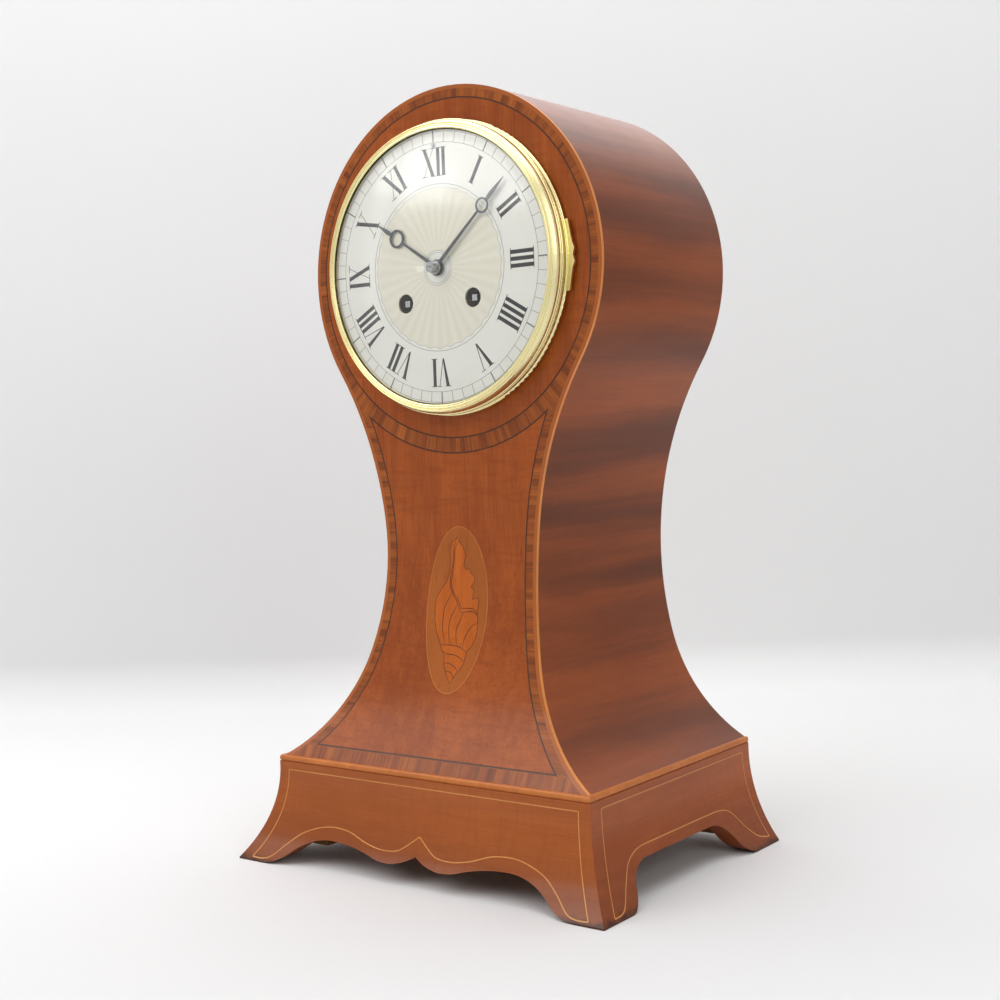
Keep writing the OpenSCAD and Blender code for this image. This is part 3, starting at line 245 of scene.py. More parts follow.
def about_dial(tree, vector, centre):
    """Distance from the dial's axis, and the clock angle about it."""
    x, _, z = parts_of(tree, vector)
    up = minus(tree, z, centre)
    radius = calc(tree, "SQRT", plus(tree, times(tree, x, x), times(tree, up, up)))
    return radius, calc(tree, "ARCTAN2", x, up)


def new_group(name, inputs, outputs):
    """Node group with named sockets, and its input and output sockets."""
    tree = bpy.data.node_groups.new(name, "ShaderNodeTree")
    for label, kind in inputs.items():
        tree.interface.new_socket(label, in_out="INPUT", socket_type=kind)
    for label, kind in outputs.items():
        tree.interface.new_socket(label, in_out="OUTPUT", socket_type=kind)
    return tree, tree.nodes.new("NodeGroupInput").outputs, tree.nodes.new("NodeGroupOutput").inputs


def use_group(tree, group, **values):
    """Places a group in a material with its own values."""
    n = tree.nodes.new("ShaderNodeGroup")
    n.node_tree = group
    dress(tree, n, values)
    return n.outputs


# Shared effects

FLOAT = "NodeSocketFloat"
VECTOR = "NodeSocketVector"
COLOUR = "NodeSocketColor"


def make_grain():
    """Wood grain that runs along the given vector's Z."""
    inputs = {"Vector": VECTOR, "Light": COLOUR, "Dark": COLOUR, "Pore": COLOUR}
    inputs.update({"Figure": FLOAT, "Pores": FLOAT, "Ripple": FLOAT})
    outputs = {"Color": COLOUR, "Height": FLOAT, "Gloss": FLOAT}
    tree, given, made = new_group("Wood grain", inputs, outputs)
    place = given["Vector"]
    fibre = noise(tree, stretch(tree, place, (1, 1, 0.03)), scale=1500, detail=4, rough=0.65)
    band = noise(tree, stretch(tree, place, (1, 1, 0.06)), scale=190, rough=0.5, distortion=0.4)
    cloud = noise(tree, stretch(tree, place, (1, 1, 0.5)), scale=given["Figure"], distortion=0.8)
    ticks = noise(tree, stretch(tree, place, (1, 1, 0.07)), scale=1250, detail=2, rough=0.5)
    waves = noise(tree, stretch(tree, place, (0.16, 0.16, 1)), scale=330, rough=0.6, distortion=0.3)
    pores = remap(tree, ticks, 0.60, 0.72)
    ripple = remap(tree, waves, 0.46, 0.68)
    mixed = plus(tree, times(tree, fibre, 0.45), times(tree, band, 0.35))
    mixed = plus(tree, mixed, times(tree, cloud, 0.55))
    tone = blend_colour(tree, remap(tree, mixed, 0.48, 0.90), given["Dark"], given["Light"])
    tone = blend_colour(tree, times(tree, ripple, given["Ripple"]), tone, given["Dark"])
    tone = blend_colour(tree, times(tree, pores, given["Pores"]), tone, given["Pore"])
    feed(tree, made["Color"], tone)
    feed(tree, made["Height"], minus(tree, fibre, times(tree, pores, 0.8)))
    feed(tree, made["Gloss"], noise(tree, place, scale=25, detail=2, rough=0.5))
    return tree


def make_stripes():
    """Soft dark stripes across the side veneer."""
    tree, given, made = new_group("Side stripes", {"Vector": VECTOR}, {"Fac": FLOAT})
    _, y, z = parts_of(tree, given["Vector"])
    sway = noise(tree, join(tree, 0.0, times(tree, y, 7.0), times(tree, z, 9.0)), detail=2, rough=0.5)
    level = plus(tree, z, times(tree, sway, 0.022))
    wide = noise(tree, join(tree, 0.0, times(tree, y, 2.0), times(tree, level, 33.0)), detail=1, rough=0.45)
    fine = noise(tree, join(tree, 0.0, times(tree, y, 4.0), times(tree, level, 170.0)), rough=0.6)
    both = plus(tree, times(tree, wide, 0.86), times(tree, fine, 0.14))
    feed(tree, made["Fac"], remap(tree, both, 0.38, 0.60))
    return tree


def make_across():
    """Vector whose Z runs across the border: out from the dial, level below it, upright at the foot."""
    inputs = {"Vector": VECTOR, "Centre": FLOAT, "Foot": FLOAT}
    tree, given, made = new_group("Across the border", inputs, {"Vector": VECTOR, "Block": FLOAT})
    x, _, z = parts_of(tree, given["Vector"])
    radius, turn = about_dial(tree, given["Vector"], given["Centre"])
    in_head = remap(tree, radius, *HEAD_BORDER, 1.0, 0.0)
    in_foot = remap(tree, z, minus(tree, given["Foot"], FOOT_BLEND), given["Foot"], 1.0, 0.0)
    along = choose(tree, in_head, times(tree, turn, HEAD_RADIUS), z)
    along = choose(tree, in_foot, x, along)
    over = choose(tree, in_head, radius, x)
    over = choose(tree, in_foot, z, over)
    block = join(tree, times(tree, along, 210.0), 3.0, 0.0)
    feed(tree, made["Vector"], join(tree, along, 0.0, over))
    feed(tree, made["Block"], noise(tree, block, detail=5, rough=0.75))
    return tree


def make_turning():
    """Fine turned rings about the dial's axis."""
    tree, given, made = new_group("Turned rings", {"Vector": VECTOR, "Centre": FLOAT}, {"Height": FLOAT})
    _, y, _ = parts_of(tree, given["Vector"])
    radius, _ = about_dial(tree, given["Vector"], given["Centre"])
    rings = join(tree, times(tree, radius, 4200.0), times(tree, y, 4200.0), 0.0)
    feed(tree, made["Height"], noise(tree, rings, detail=2, rough=0.5))
    return tree


def make_rays():
    """Engine-turned rays from the dial's centre, inside a waved edge."""
    outputs = {"Mask": FLOAT, "Height": FLOAT, "Shade": FLOAT}
    tree, given, made = new_group("Engine turning", {"Vector": VECTOR, "Centre": FLOAT}, outputs)
    radius, turn = about_dial(tree, given["Vector"], given["Centre"])
    wave = times(tree, calc(tree, "COSINE", times(tree, turn, WAVES)), TURNED_WAVE)
    inside = minus(tree, plus(tree, TURNED_EDGE, wave), radius)
    mask = times(tree, remap(tree, inside, 0.0, TURNED_BLEND), remap(tree, radius, *TURNED_HOLE))
    swing = times(tree, calc(tree, "SINE", times(tree, radius, 900.0)), 0.004)
    ray = calc(tree, "PINGPONG", times(tree, plus(tree, turn, swing), RAY_PAIRS / math.pi), 1.0)
    fine = calc(tree, "PINGPONG", times(tree, minus(tree, turn, swing), FINE_PAIRS / math.pi), 1.0)
    sine, cosine = calc(tree, "SINE", turn), calc(tree, "COSINE", turn)
    cloud = noise(tree, join(tree, times(tree, sine, 5.0), times(tree, cosine, 5.0), 0.0), rough=0.6)
    feed(tree, made["Mask"], mask)
    feed(tree, made["Height"], plus(tree, ray, times(tree, fine, 0.25)))
    feed(tree, made["Shade"], plus(tree, times(tree, ray, 0.5), times(tree, cloud, 0.5)))
    return tree


GRAIN = make_grain()
STRIPES = make_stripes()
ACROSS = make_across()
TURNING = make_turning()
RAYS = make_rays()

# Materials


def grain_of(tree, vector, tones, figure, pores, ripple=0.0):
    """Grain in three tones: light, dark and pore."""
    light, dark, pore = tones
    values = {"Vector": vector, "Light": light, "Dark": dark, "Pore": pore}
    return use_group(tree, GRAIN, **values, Figure=figure, Pores=pores, Ripple=ripple)


def satin(tree, grain, rough):
    """Roughness that changes softly over the wood."""
    return remap(tree, grain["Gloss"], 0.2, 0.8, *rough)


def polish(tree, shader, grain, coat=POLISH_COAT, coat_rough=COAT_ROUGH):
    """Clear polish over the grain's fine relief."""
    relief = bump(tree, grain["Height"], GRAIN_RELIEF, GRAIN_DEPTH)
    values = {"Coat Weight": coat, "Coat Roughness": coat_rough}
    dress(tree, shader, {**values, "Specular IOR Level": POLISH_SPECULAR, "Normal": relief})


def wood(name, tones, figure, rough=POLISH_ROUGH, coat=POLISH_COAT, pores=0.4, ripple=0.0):
    """Polished wood with upright grain."""
    mat, tree, shader = new_material(name)
    grain = grain_of(tree, own_place(tree), tones, figure, pores, ripple)
    dress(tree, shader, {"Base Color": grain["Color"], "Roughness": satin(tree, grain, rough)})
    polish(tree, shader, grain, coat)
    return mat


def side_wood(name, tones):
    """Polished side veneer with dark stripes across it, and a sheen where it turns away."""
    mat, tree, shader = new_material(name)
    place = own_place(tree)
    x, y, z = parts_of(tree, place)
    grain = grain_of(tree, join(tree, x, z, y), tones, figure=14.0, pores=0.2, ripple=0.2)
    stripe = use_group(tree, STRIPES, Vector=place)["Fac"]
    dark = times(tree, minus(tree, 1.0, stripe), 0.8)
    grazing = tree.nodes.new("ShaderNodeLayerWeight").outputs["Facing"]
    values = {
        "Base Color": blend_colour(tree, dark, grain["Color"], tones[2]),
        "Roughness": satin(tree, grain, (0.3, 0.38)),
        "Coat Weight": remap(tree, grazing, 0.42, 0.9, 0.06, 0.8),
        "Coat Roughness": 0.22,
        "Specular IOR Level": 0.13,
        "Normal": bump(tree, grain["Height"], 0.08, GRAIN_DEPTH),
    }
    dress(tree, shader, values)
    return mat


def border_wood(name, tones):
    """Crossbanding: grain across the border, light and dark by turns."""
    mat, tree, shader = new_material(name)
    across = use_group(tree, ACROSS, Vector=own_place(tree), Centre=HEAD_Z, Foot=FOOT_Z)
    grain = grain_of(tree, across["Vector"], tones, figure=60.0, pores=0.3)
    block = remap(tree, across["Block"], 0.38, 0.68, 0.0, 0.72)
    tone = blend_colour(tree, block, grain["Color"], tones[2])
    dress(tree, shader, {"Base Color": tone, "Roughness": satin(tree, grain, POLISH_ROUGH)})
    polish(tree, shader, grain)
    return mat


def corner_wood(name, side, face):
    """Corner string: bright on its side as a painted highlight, darker brown on its face as painted shade,
    under polish.
    """
    mat, tree, shader = new_material(name)
    tones = [tuple(c * share for c in side) for share in (1.0, 0.78, 0.4)]
    grain = grain_of(tree, own_place(tree), tones, figure=30.0, pores=0.15)
    _, y, _ = parts_of(tree, tree.nodes.new("ShaderNodeTexCoord").outputs["Normal"])
    # Face-on parts take the darker face colour as painted shade; elsewhere the side's bright colour is a
    # painted highlight
    painted_shade_mask = remap(tree, calc(tree, "ABSOLUTE", y), 0.35, 0.8, 0.0, 0.85)
    dress(tree, shader, {"Base Color": blend_colour(tree, painted_shade_mask, grain["Color"], face), "Roughness": 0.3})
    polish(tree, shader, grain, coat_rough=CORNER_COAT_ROUGH)
    return mat


def foot_wood(name, tones, along):
    """Plinth veneer with level grain, darker to the toes and rubbed there."""
    mat, tree, shader = new_material(name)
    place = own_place(tree)
    x, y, z = parts_of(tree, place)
    way = join(tree, z, y, x) if along == "x" else join(tree, z, x, y)
    grain = grain_of(tree, way, tones, figure=16.0, pores=0.14, ripple=0.5)
    ragged = plus(tree, z, times(tree, noise(tree, place, scale=160, detail=4, rough=0.65), 9 * MM))
    worn = remap(tree, ragged, 4.5 * MM, 8.5 * MM, 0.85, 0.0)
    # The veneer grows darker towards the bottom
    darker_low = blend_colour(tree, remap(tree, z, 0.0, 42 * MM, 0.6, 0.0), grain["Color"], tones[2])
    rough = plus(tree, satin(tree, grain, POLISH_ROUGH), times(tree, worn, 0.25))
    dress(tree, shader, {"Base Color": blend_colour(tree, worn, darker_low, WORN_TOE), "Roughness": rough})
    polish(tree, shader, grain)
    return mat


def metal(name, colour, rough, rings=0.0, tarnish=0.25, old=None):
    """Metal with fine turning or brushing and a light tarnish."""
    mat, tree, shader = new_material(name)
    place = own_place(tree)
    cloud = noise(tree, place, scale=70, rough=0.5)
    dull = remap(tree, cloud, 0.5, 0.8, 0.0, tarnish)
    tone = blend_colour(tree, dull, colour, old or tuple(c * 0.55 for c in colour))
    if rings:
        turned = use_group(tree, TURNING, Vector=place, Centre=HEAD_Z)
        relief = bump(tree, turned["Height"], rings, 0.06 * MM)
    else:
        brushed = noise(tree, stretch(tree, place, (1, 0.1, 1)), scale=3000, detail=2)
        relief = bump(tree, brushed, 0.15, 0.05 * MM)
    rough = remap(tree, cloud, 0.3, 0.7, *rough)
    dress(tree, shader, {"Base Color": tone, "Metallic": 1.0, "Roughness": rough, "Normal": relief})
    return mat


def silvered():
    """Silvered dial: soft matt silver, with the engine-turned centre."""
    mat, tree, shader = new_material("Silvered dial")
    place = own_place(tree)
    rays = use_group(tree, RAYS, Vector=place, Centre=HEAD_Z)
    rings = use_group(tree, TURNING, Vector=place, Centre=HEAD_Z)
    stain = remap(tree, noise(tree, place, scale=60, detail=4, rough=0.6), 0.5, 0.8, 0.0, 0.22)
    silver = blend_colour(tree, stain, (0.71, 0.69, 0.635), (0.60, 0.555, 0.44))
    cream = blend_colour(tree, rays["Shade"], (0.625, 0.585, 0.475), (0.72, 0.685, 0.585))
    height = plus(tree, times(tree, rays["Height"], rays["Mask"]), times(tree, rings["Height"], 0.15))
    values = {
        "Base Color": blend_colour(tree, rays["Mask"], silver, cream),
        "Metallic": 0.45,
        "Roughness": 0.42,
        "Normal": bump(tree, height, 0.17, 0.15 * MM),
    }
    dress(tree, shader, values)
    return mat


def clear_glass():
    """Domed glass that lets light through to the dial."""
    mat, tree, shader = new_material("Domed glass")
    values = {
        "Base Color": (0.97, 0.985, 0.98),
        "Roughness": 0.03,
        "IOR": 1.02,
        "Transmission Weight": 1.0,
        "Coat Weight": 0.8,
        "Coat Roughness": 0.15,
    }
    dress(tree, shader, values)
    clear = tree.nodes.new("ShaderNodeBsdfTransparent")
    light = tree.nodes.new("ShaderNodeLightPath").outputs
    unseen = calc(tree, "MAXIMUM", light["Is Shadow Ray"], light["Is Diffuse Ray"])
    mix_shaders(tree, unseen, shader, clear)
    return mat


def filled_line(name, colour, rough, coat=0.0):
    """Wax, ink or scorched sand in a line, with fine pale specks."""
    mat, tree, shader = new_material(name)
    speck = remap(tree, noise(tree, own_place(tree), scale=900, rough=0.6), 0.4, 0.8, 0.0, 0.35)
    tone = blend_colour(tree, speck, colour, tuple(c * 1.9 + 0.01 for c in colour))
    values = {"Base Color": tone, "Roughness": rough, "Specular IOR Level": 0.15, "Coat Weight": coat}
    dress(tree, shader, values)
    return mat


# Woods have a light, a dark and a pore tone
FACE_TONES = ((0.42, 0.098, 0.015), (0.25, 0.05, 0.007), (0.075, 0.016, 0.006))
SIDE_TONES = ((0.36, 0.085, 0.021), (0.26, 0.058, 0.014), (0.10, 0.027, 0.011))
BORDER_TONES = ((0.47, 0.128, 0.021), (0.24, 0.051, 0.01), (0.075, 0.019, 0.007))
PLINTH_FACE_TONES = ((0.43, 0.112, 0.022), (0.32, 0.077, 0.014), (0.13, 0.03, 0.008))
PLINTH_SIDE_TONES = ((0.43, 0.105, 0.026), (0.31, 0.07, 0.016), (0.13, 0.03, 0.009))
EBONY_TONES = ((0.10, 0.04, 0.018), (0.06, 0.024, 0.012), (0.03, 0.012, 0.006))
STRING_TONES = ((0.66, 0.29, 0.085), (0.54, 0.21, 0.055), (0.30, 0.09, 0.02))
EDGE_TONES = ((0.60, 0.19, 0.045), (0.47, 0.14, 0.03), (0.28, 0.08, 0.02))
GROUND_TONES = ((0.40, 0.108, 0.018), (0.33, 0.086, 0.013), (0.16, 0.04, 0.008))
SHELL_TONES = ((0.55, 0.13, 0.015), (0.43, 0.092, 0.01), (0.26, 0.055, 0.008))
OAK_TONES = ((0.38, 0.20, 0.08), (0.25, 0.12, 0.042), (0.10, 0.045, 0.017))

STRING = wood("Faded stringing", STRING_TONES, 30.0, pores=0.1)
EDGE = wood("Plinth edge", EDGE_TONES, 30.0, pores=0.1)
# The side colour is a painted highlight and the face colour is painted shade
CORNER = corner_wood("Corner string", side=(0.86, 0.31, 0.075), face=(0.32, 0.075, 0.015))
PLINTH_FRONT = foot_wood("Plinth face", PLINTH_FACE_TONES, "x")
PLINTH_SIDE = foot_wood("Plinth side", PLINTH_SIDE_TONES, "y")
INK = filled_line("Black wax", (0.022, 0.021, 0.02), 0.4)
FINE_INK = filled_line("Engraved line", (0.16, 0.155, 0.14), 0.45)
SCORCHED = filled_line("Scorched line", (0.075, 0.024, 0.01), 0.35, 0.1)

BY_SLOT = {
    "mahogany": wood("Mahogany face", FACE_TONES, 20.0, ripple=0.5),
    "side_mahogany": side_wood("Mahogany side", SIDE_TONES),
    "crossband": border_wood("Crossbanding", BORDER_TONES),
    "ebony": wood("Ebony line", EBONY_TONES, 40.0),
    "green_wood": wood("Green ground", GROUND_TONES, 30.0),
    "shaded_boxwood": wood("Shaded boxwood", SHELL_TONES, 55.0),
    "oak": wood("Plain oak", OAK_TONES, 16.0, (0.5, 0.7), coat=0.0),
    "brass": metal("Brass", (0.78, 0.57, 0.23), (0.25, 0.3), 0.0, 0.12, (0.64, 0.44, 0.16)),
    "bezel_brass": metal("Bezel brass", (0.86, 0.77, 0.42), (0.2, 0.3), 0.25, 0.12, (0.70, 0.57, 0.24)),
    "silvered": silvered(),
    "steel": metal("Steel", (0.40, 0.40, 0.40), (0.22, 0.36)),
    "blued_steel": metal("Blued steel", (0.10, 0.102, 0.11), (0.26, 0.38)),
    "iron": metal("Iron", (0.10, 0.10, 0.10), (0.5, 0.65)),
    "glass": clear_glass(),
}
BY_NODE = {
    "boxwood_string": CORNER,
    "plinth_edge": EDGE,
    "plinth_front": PLINTH_FRONT,
    "plinth_left": PLINTH_SIDE,
    "plinth_right": PLINTH_SIDE,
}

for part in frame["record"]["subparts"]:
    piece = nodes[part["node"]]
    piece.data.materials.clear()
    piece.data.materials.append(BY_NODE.get(part["node"]) or BY_SLOT[part["material_slot"]])


# Drawn details


def add_mesh(name, bm, material, body):
    """Makes an object of a mesh, and lets it ride on its body."""
    mesh = bpy.data.meshes.new(name)
    bmesh.ops.recalc_face_normals(bm, faces=bm.faces)
    bm.to_mesh(mesh)
    bm.free()
    obj = bpy.data.objects.new(name, mesh)
    bpy.context.scene.collection.objects.link(obj)
    mesh.materials.append(material)
    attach(obj, body)


def prism(bm, outline, lift):
    """Thin closed plate on the dial: an outline in x and z from the dial's centre, in millimetres."""
    top = [bm.verts.new((x * MM, DIAL_Y - lift, HEAD_Z + z * MM)) for x, z in outline]
    low = [bm.verts.new((x * MM, DIAL_Y, HEAD_Z + z * MM)) for x, z in outline]
    bm.faces.new(top)
    bm.faces.new(low[::-1])
    count = len(outline)
    for i in range(count):
        j = (i + 1) % count
        bm.faces.new((top[i], low[i], low[j], top[j]))


def dial_ring(bm, radius, width, lift, steps=180, wave=0.0):
    """Thin closed ring on the dial, plain or waved."""
    loops = []
    for offset, y in ((-width / 2, 0), (-width / 2, lift), (width / 2, lift), (width / 2, 0)):
        loop = []
        for i in range(steps):
            a = math.tau * i / steps
            r = (radius + offset + wave * math.cos(WAVES * a)) * MM
            loop.append(bm.verts.new((r * math.sin(a), DIAL_Y - y, HEAD_Z + r * math.cos(a))))
        loops.append(loop)
    for k in range(4):
        a, b = loops[k], loops[(k + 1) % 4]
        for i in range(steps):
            j = (i + 1) % steps
            bm.faces.new((a[i], a[j], b[j], b[i]))


def turn_to(shape, angle, base):
    """Puts an outline at a clock angle, its foot towards the dial's centre."""
    s, c = math.sin(angle), math.cos(angle)
    return [((base + v) * s + u * c, (base + v) * c - u * s) for u, v in shape]


# Hour numerals: strokes and hairline serifs, in millimetres
NUMERALS = ["XII", "I", "II", "III", "IIII", "V", "VI", "VII", "VIII", "IX", "X", "XI"]
TALL = 14.5
THICK = 2.0
SLANTED = THICK * 1.06
THIN = 0.3
SERIF = 0.34
SERIF_REACH = 0.95
HAIR_SERIF = 1.9
INSET = 0.5
TRIM = 0.1
POINT = 0.45
WIDTHS = {"I": THICK, "V": 7.2, "X": 7.6}
LETTER_GAP = 1.45


def letter_shapes(letter, left):
    """Outlines of one letter, drawn with its foot at 0."""
    right = left + WIDTHS[letter]
    head = TALL - TRIM
    if letter == "I":
        return [[(left, TRIM), (right, TRIM), (right, head), (left, head)]]
    hair_head = [(right - INSET, head), (right - INSET - THIN, head)]
    if letter == "V":
        foot = left + WIDTHS[letter] * 0.52
        stroke = [(left, head), (foot - POINT, 0), (foot + POINT, 0), (left + SLANTED, head)]
        return [stroke, [(foot - 0.05, 0.3), (foot + 0.4, 0.3)] + hair_head]
    stroke = [(left, head), (right - SLANTED, TRIM), (right, TRIM), (left + SLANTED, head)]
    return [stroke, [(left + INSET, TRIM), (left + INSET + THIN, TRIM)] + hair_head]


def serif_shapes(letter, left):
    """Outlines of one letter's serifs, at its foot and its head."""
    right = left + WIDTHS[letter]
    first = (left - SERIF_REACH, left + THICK + SERIF_REACH)
    if letter == "V":
        levels, spans = (TALL - SERIF,), (first, (right - HAIR_SERIF, right + SERIF_REACH))
    elif letter == "X":
        levels, spans = (0, TALL - SERIF), (first, (right - THICK - SERIF_REACH, right + SERIF_REACH))
    else:
        levels, spans = (0, TALL - SERIF), (first,)
    return [[(a, z), (b, z), (b, z + SERIF), (a, z + SERIF)] for z in levels for a, b in spans]


def numeral_shapes(text):
    """Outlines of a numeral, centred, with its hairline serifs."""
    left = -(sum(WIDTHS[c] for c in text) + LETTER_GAP * (len(text) - 1)) / 2
    shapes = []
    for letter in text:
        shapes += letter_shapes(letter, left) + serif_shapes(letter, left)
        left += WIDTHS[letter] + LETTER_GAP
    return shapes


# Strokes that cross lie at slightly different heights
INK_LIFT = 0.05 * MM
STROKE_STEP = 0.004 * MM
STROKE_LEVELS = 5
BAR_LIFT = 0.06 * MM
RING_LIFT = 0.03 * MM
TRACK_LINE = 0.2

figures = bmesh.new()
for hour, text in enumerate(NUMERALS):
    for step, shape in enumerate(numeral_shapes(text)):
        placed = turn_to(shape, math.tau * hour / 12, NUMERAL_FOOT)
        prism(figures, placed, INK_LIFT + STROKE_STEP * (step % STROKE_LEVELS))
add_mesh("hour_numerals", figures, INK, "case")

track = bmesh.new()
for radius in (TRACK_INNER, TRACK_OUTER):
    dial_ring(track, radius, TRACK_LINE, INK_LIFT)
for minute in range(60):
    half, end = (FIVE_HALF, FIVE_OUTER) if minute % 5 == 0 else (MINUTE_HALF, TRACK_OUTER)
    length = end - TRACK_INNER
    bar = [(-half, 0), (half, 0), (half, length), (-half, length)]
    prism(track, turn_to(bar, math.tau * minute / 60, TRACK_INNER), BAR_LIFT)
add_mesh("minute_track", track, FINE_INK, "case")

engraved = bmesh.new()
dial_ring(engraved, CENTRE_RING, 0.24, RING_LIFT)
dial_ring(engraved, WAVED_RING, 0.16, RING_LIFT, 720, WAVE)
for radius in HUB_RINGS:
    dial_ring(engraved, radius, TRACK_LINE, RING_LIFT)
add_mesh("engraved_rings", engraved, FINE_INK, "case")


def smooth_path(points, steps=6):
    """Smooth run of points through the given ones."""
    points = [Vector(p) for p in points]
    ends = [points[0]] + points + [points[-1]]
    path = []
    for a, b, c, d in zip(ends, ends[1:], ends[2:], ends[3:]):
        for j in range(steps):
            t = j / steps
            bend = (2 * a - 5 * b + 4 * c - d) * t**2 + (3 * b - a - 3 * c + d) * t**3
            path.append(0.5 * (2 * b + (c - a) * t + bend))
    return path + [points[-1]]


def inlay_line(bm, path, width, place, closed=False, taper=False):
    """Thin closed strip along a flat path, laid on a curved face by place(u, v, lift)."""
    rails = []
    count = len(path)
    for i, here in enumerate(path):
        before = path[i - 1] if closed or i > 0 else here
        after = path[(i + 1) % count] if closed or i < count - 1 else here
        way = (after - before).normalized()
        side = Vector((-way[1], way[0]))
        half = width / 2
        if taper:
            half *= 0.35 + 0.65 * math.sin(math.pi * (i + 0.5) / count)
        left, right = here + side * half, here - side * half
        corners = ((left, 0.0), (left, 1.0), (right, 1.0), (right, 0.0))
        rails.append([bm.verts.new(place(p[0], p[1], lift)) for p, lift in corners])
    for i in range(count if closed else count - 1):
        a, b = rails[i], rails[(i + 1) % count]
        for k in range(4):
            m = (k + 1) % 4
            bm.faces.new((a[k], a[m], b[m], b[k]))
    if not closed:
        bm.faces.new(rails[0])
        bm.faces.new(rails[-1][::-1])


LIFT = 0.04 * MM


def on_front(u, v, lift):
    """Place on the swept front: width and height in millimetres."""
    z = v * MM
    return (u * MM, front_y(z) - lift * LIFT, z)


def on_apron(u, v, lift):
    """Place on the plinth's front face."""
    z = v * MM
    return (u * MM, PLINTH_Y - cove_out(z) - lift * LIFT, z)


def on_side(sign):
    """Place on one side face of the plinth: depth and height in millimetres."""

    def place(u, v, lift):
        z = v * MM
        return (sign * (PLINTH_HALF + cove_out(z) + lift * LIFT), u * MM, z)

    return place


# Stringing of the plinth, in millimetres: a frame that follows the arches of each face
STRING_WIDE = 0.55
APRON_TOP = 48.2
RUN_FALL = 46
RUN_STEPS = 10
RUN_HEIGHTS = [APRON_TOP - RUN_FALL * i / RUN_STEPS for i in range(RUN_STEPS + 1)]
APRON_MARGIN = 6.65
APRON_LEAN = 1.6
APRON_FOOT = 2.2
APRON_ARCH = [
    (102, 2.2), (96, 4), (88, 10.6), (78, 17.3), (63, 21.7), (48, 21.4),
    (35, 17.6), (24, 15.7), (14, 16.1), (8, 18.8), (0, 24.5),
]
SIDE_TOP = 48.4
SIDE_MARGIN = 9.5
SIDE_LEAN = 0.5
SIDE_REAR = 79.7
SIDE_MIDDLE = 10
REAR_RUN = [(SIDE_REAR, SIDE_TOP), (80.0, 25), (80.8, 3.9)]
SIDE_ARCH = [
    (-66.5, 3.6), (-55.8, 12.6), (-47.4, 20.3), (-36.4, 24.3), (-20, 24.7), (5, 24.7),
    (30, 24.7), (46, 24.2), (55.7, 21.1), (64.9, 11.1), (71.8, 5.8), (80.8, 3.9),
]


def apron_edge(z):
    """Half width of the string's frame on the front face at a height."""
    return (PLINTH_HALF + cove_out(z * MM)) / MM - APRON_MARGIN - APRON_LEAN * (APRON_TOP - z) / RUN_FALL


def side_edge(z):
    """Depth of the string's front run on a side face at a height."""
    return (PLINTH_Y - cove_out(z * MM)) / MM + SIDE_MARGIN + SIDE_LEAN * (SIDE_TOP - z) / RUN_FALL


string = bmesh.new()
apron_run = [(apron_edge(z), z) for z in RUN_HEIGHTS]
corner_run = [(side_edge(z), z) for z in RUN_HEIGHTS]
apron_low = [(apron_run[-1][0], APRON_FOOT)] + APRON_ARCH
apron_top = apron_run[0][0]
apron_head = [(-apron_top, APRON_TOP), (0, APRON_TOP), (apron_top, APRON_TOP)]
side_head = [(corner_run[0][0], SIDE_TOP), (SIDE_MIDDLE, SIDE_TOP), (SIDE_REAR, SIDE_TOP)]
inlay_line(string, smooth_path(apron_head), STRING_WIDE, on_apron)
for sign in (1, -1):
    for run in (apron_run, apron_low):
        inlay_line(string, smooth_path([(sign * x, z) for x, z in run]), STRING_WIDE, on_apron)
for sign in (1, -1):
    for run in (side_head, corner_run, [corner_run[-1]] + SIDE_ARCH, REAR_RUN):
        inlay_line(string, smooth_path(run), STRING_WIDE, on_side(sign))
add_mesh("plinth_stringing", string, STRING, "case")

# Scorched lines of the shell, in millimetres from the oval's centre
SHELL_LINE = 0.42
SHELL_EDGE = 0.3
SHELL_LINES = [
    # Two lines of the lip, and the two that run on from them
    [
        (-0.2, 35.2), (-2.7, 31.5), (-3.2, 26.8), (-3.7, 21.5), (-4.5, 16.3),
        (-4.6, 12.1), (-3.0, 8.6), (-0.4, 5.5), (1.5, 3.0), (2.9, 0.3),
    ],
    [
        (-1.6, 36.6), (-3.2, 33.1), (-3.9, 27.8), (-4.3, 22.6), (-5.3, 17.3), (-5.5, 12.6),
        (-4.2, 9.0), (-0.9, 4.5), (0.7, 2.0), (2.0, -0.5), (3.3, -1.8),
    ],
    [(2.9, 0.3), (7.4, 0.5), (11.3, 0.1), (13.6, -2.4)],
    [(3.3, -1.8), (6.2, -1.4), (10.1, -1.0), (12.5, -1.9), (13.9, -3.1)],
    # Ribs of the body
    [(4.3, -2.2), (2.8, -6.1), (1.2, -9.3), (1.0, -13.3), (2.2, -18.3)],
    [(0.2, 2.5), (-1.2, -0.1), (-3.4, -4.4), (-4.2, -9.0), (-3.4, -14.6), (-1.7, -18.6)],
    [(-4.0, 8.0), (-6.3, 4.3), (-8.3, 0.1), (-8.7, -5.1), (-8.4, -10.2), (-6.6, -15.3), (-5.1, -18.2)],
    [(14.2, -6.6), (11.0, -8.3), (8.2, -12.0), (6.5, -16.1), (6.4, -19.6)],
    # Whorls of the spire
    [(-9.0, -18.4), (-4.7, -18.7), (0.6, -18.7), (5.4, -19.7), (8.7, -21.5)],
    [(-6.3, -21.9), (-3.2, -23.2), (1.5, -23.4), (5.7, -24.7), (8.2, -26.5)],
    [(-4.0, -27.8), (-0.3, -28.0), (3.4, -29.8), (5.0, -31.2)],
    [(-2.4, -31.9), (1.3, -32.4), (3.0, -35.3)],
]

# Pale line round the oval ground, in millimetres
OVAL_HALF = (19.9, 42.7)
OVAL_LINE = 0.4
OVAL_STEPS = 72
OVAL_MM = OVAL_Z / MM


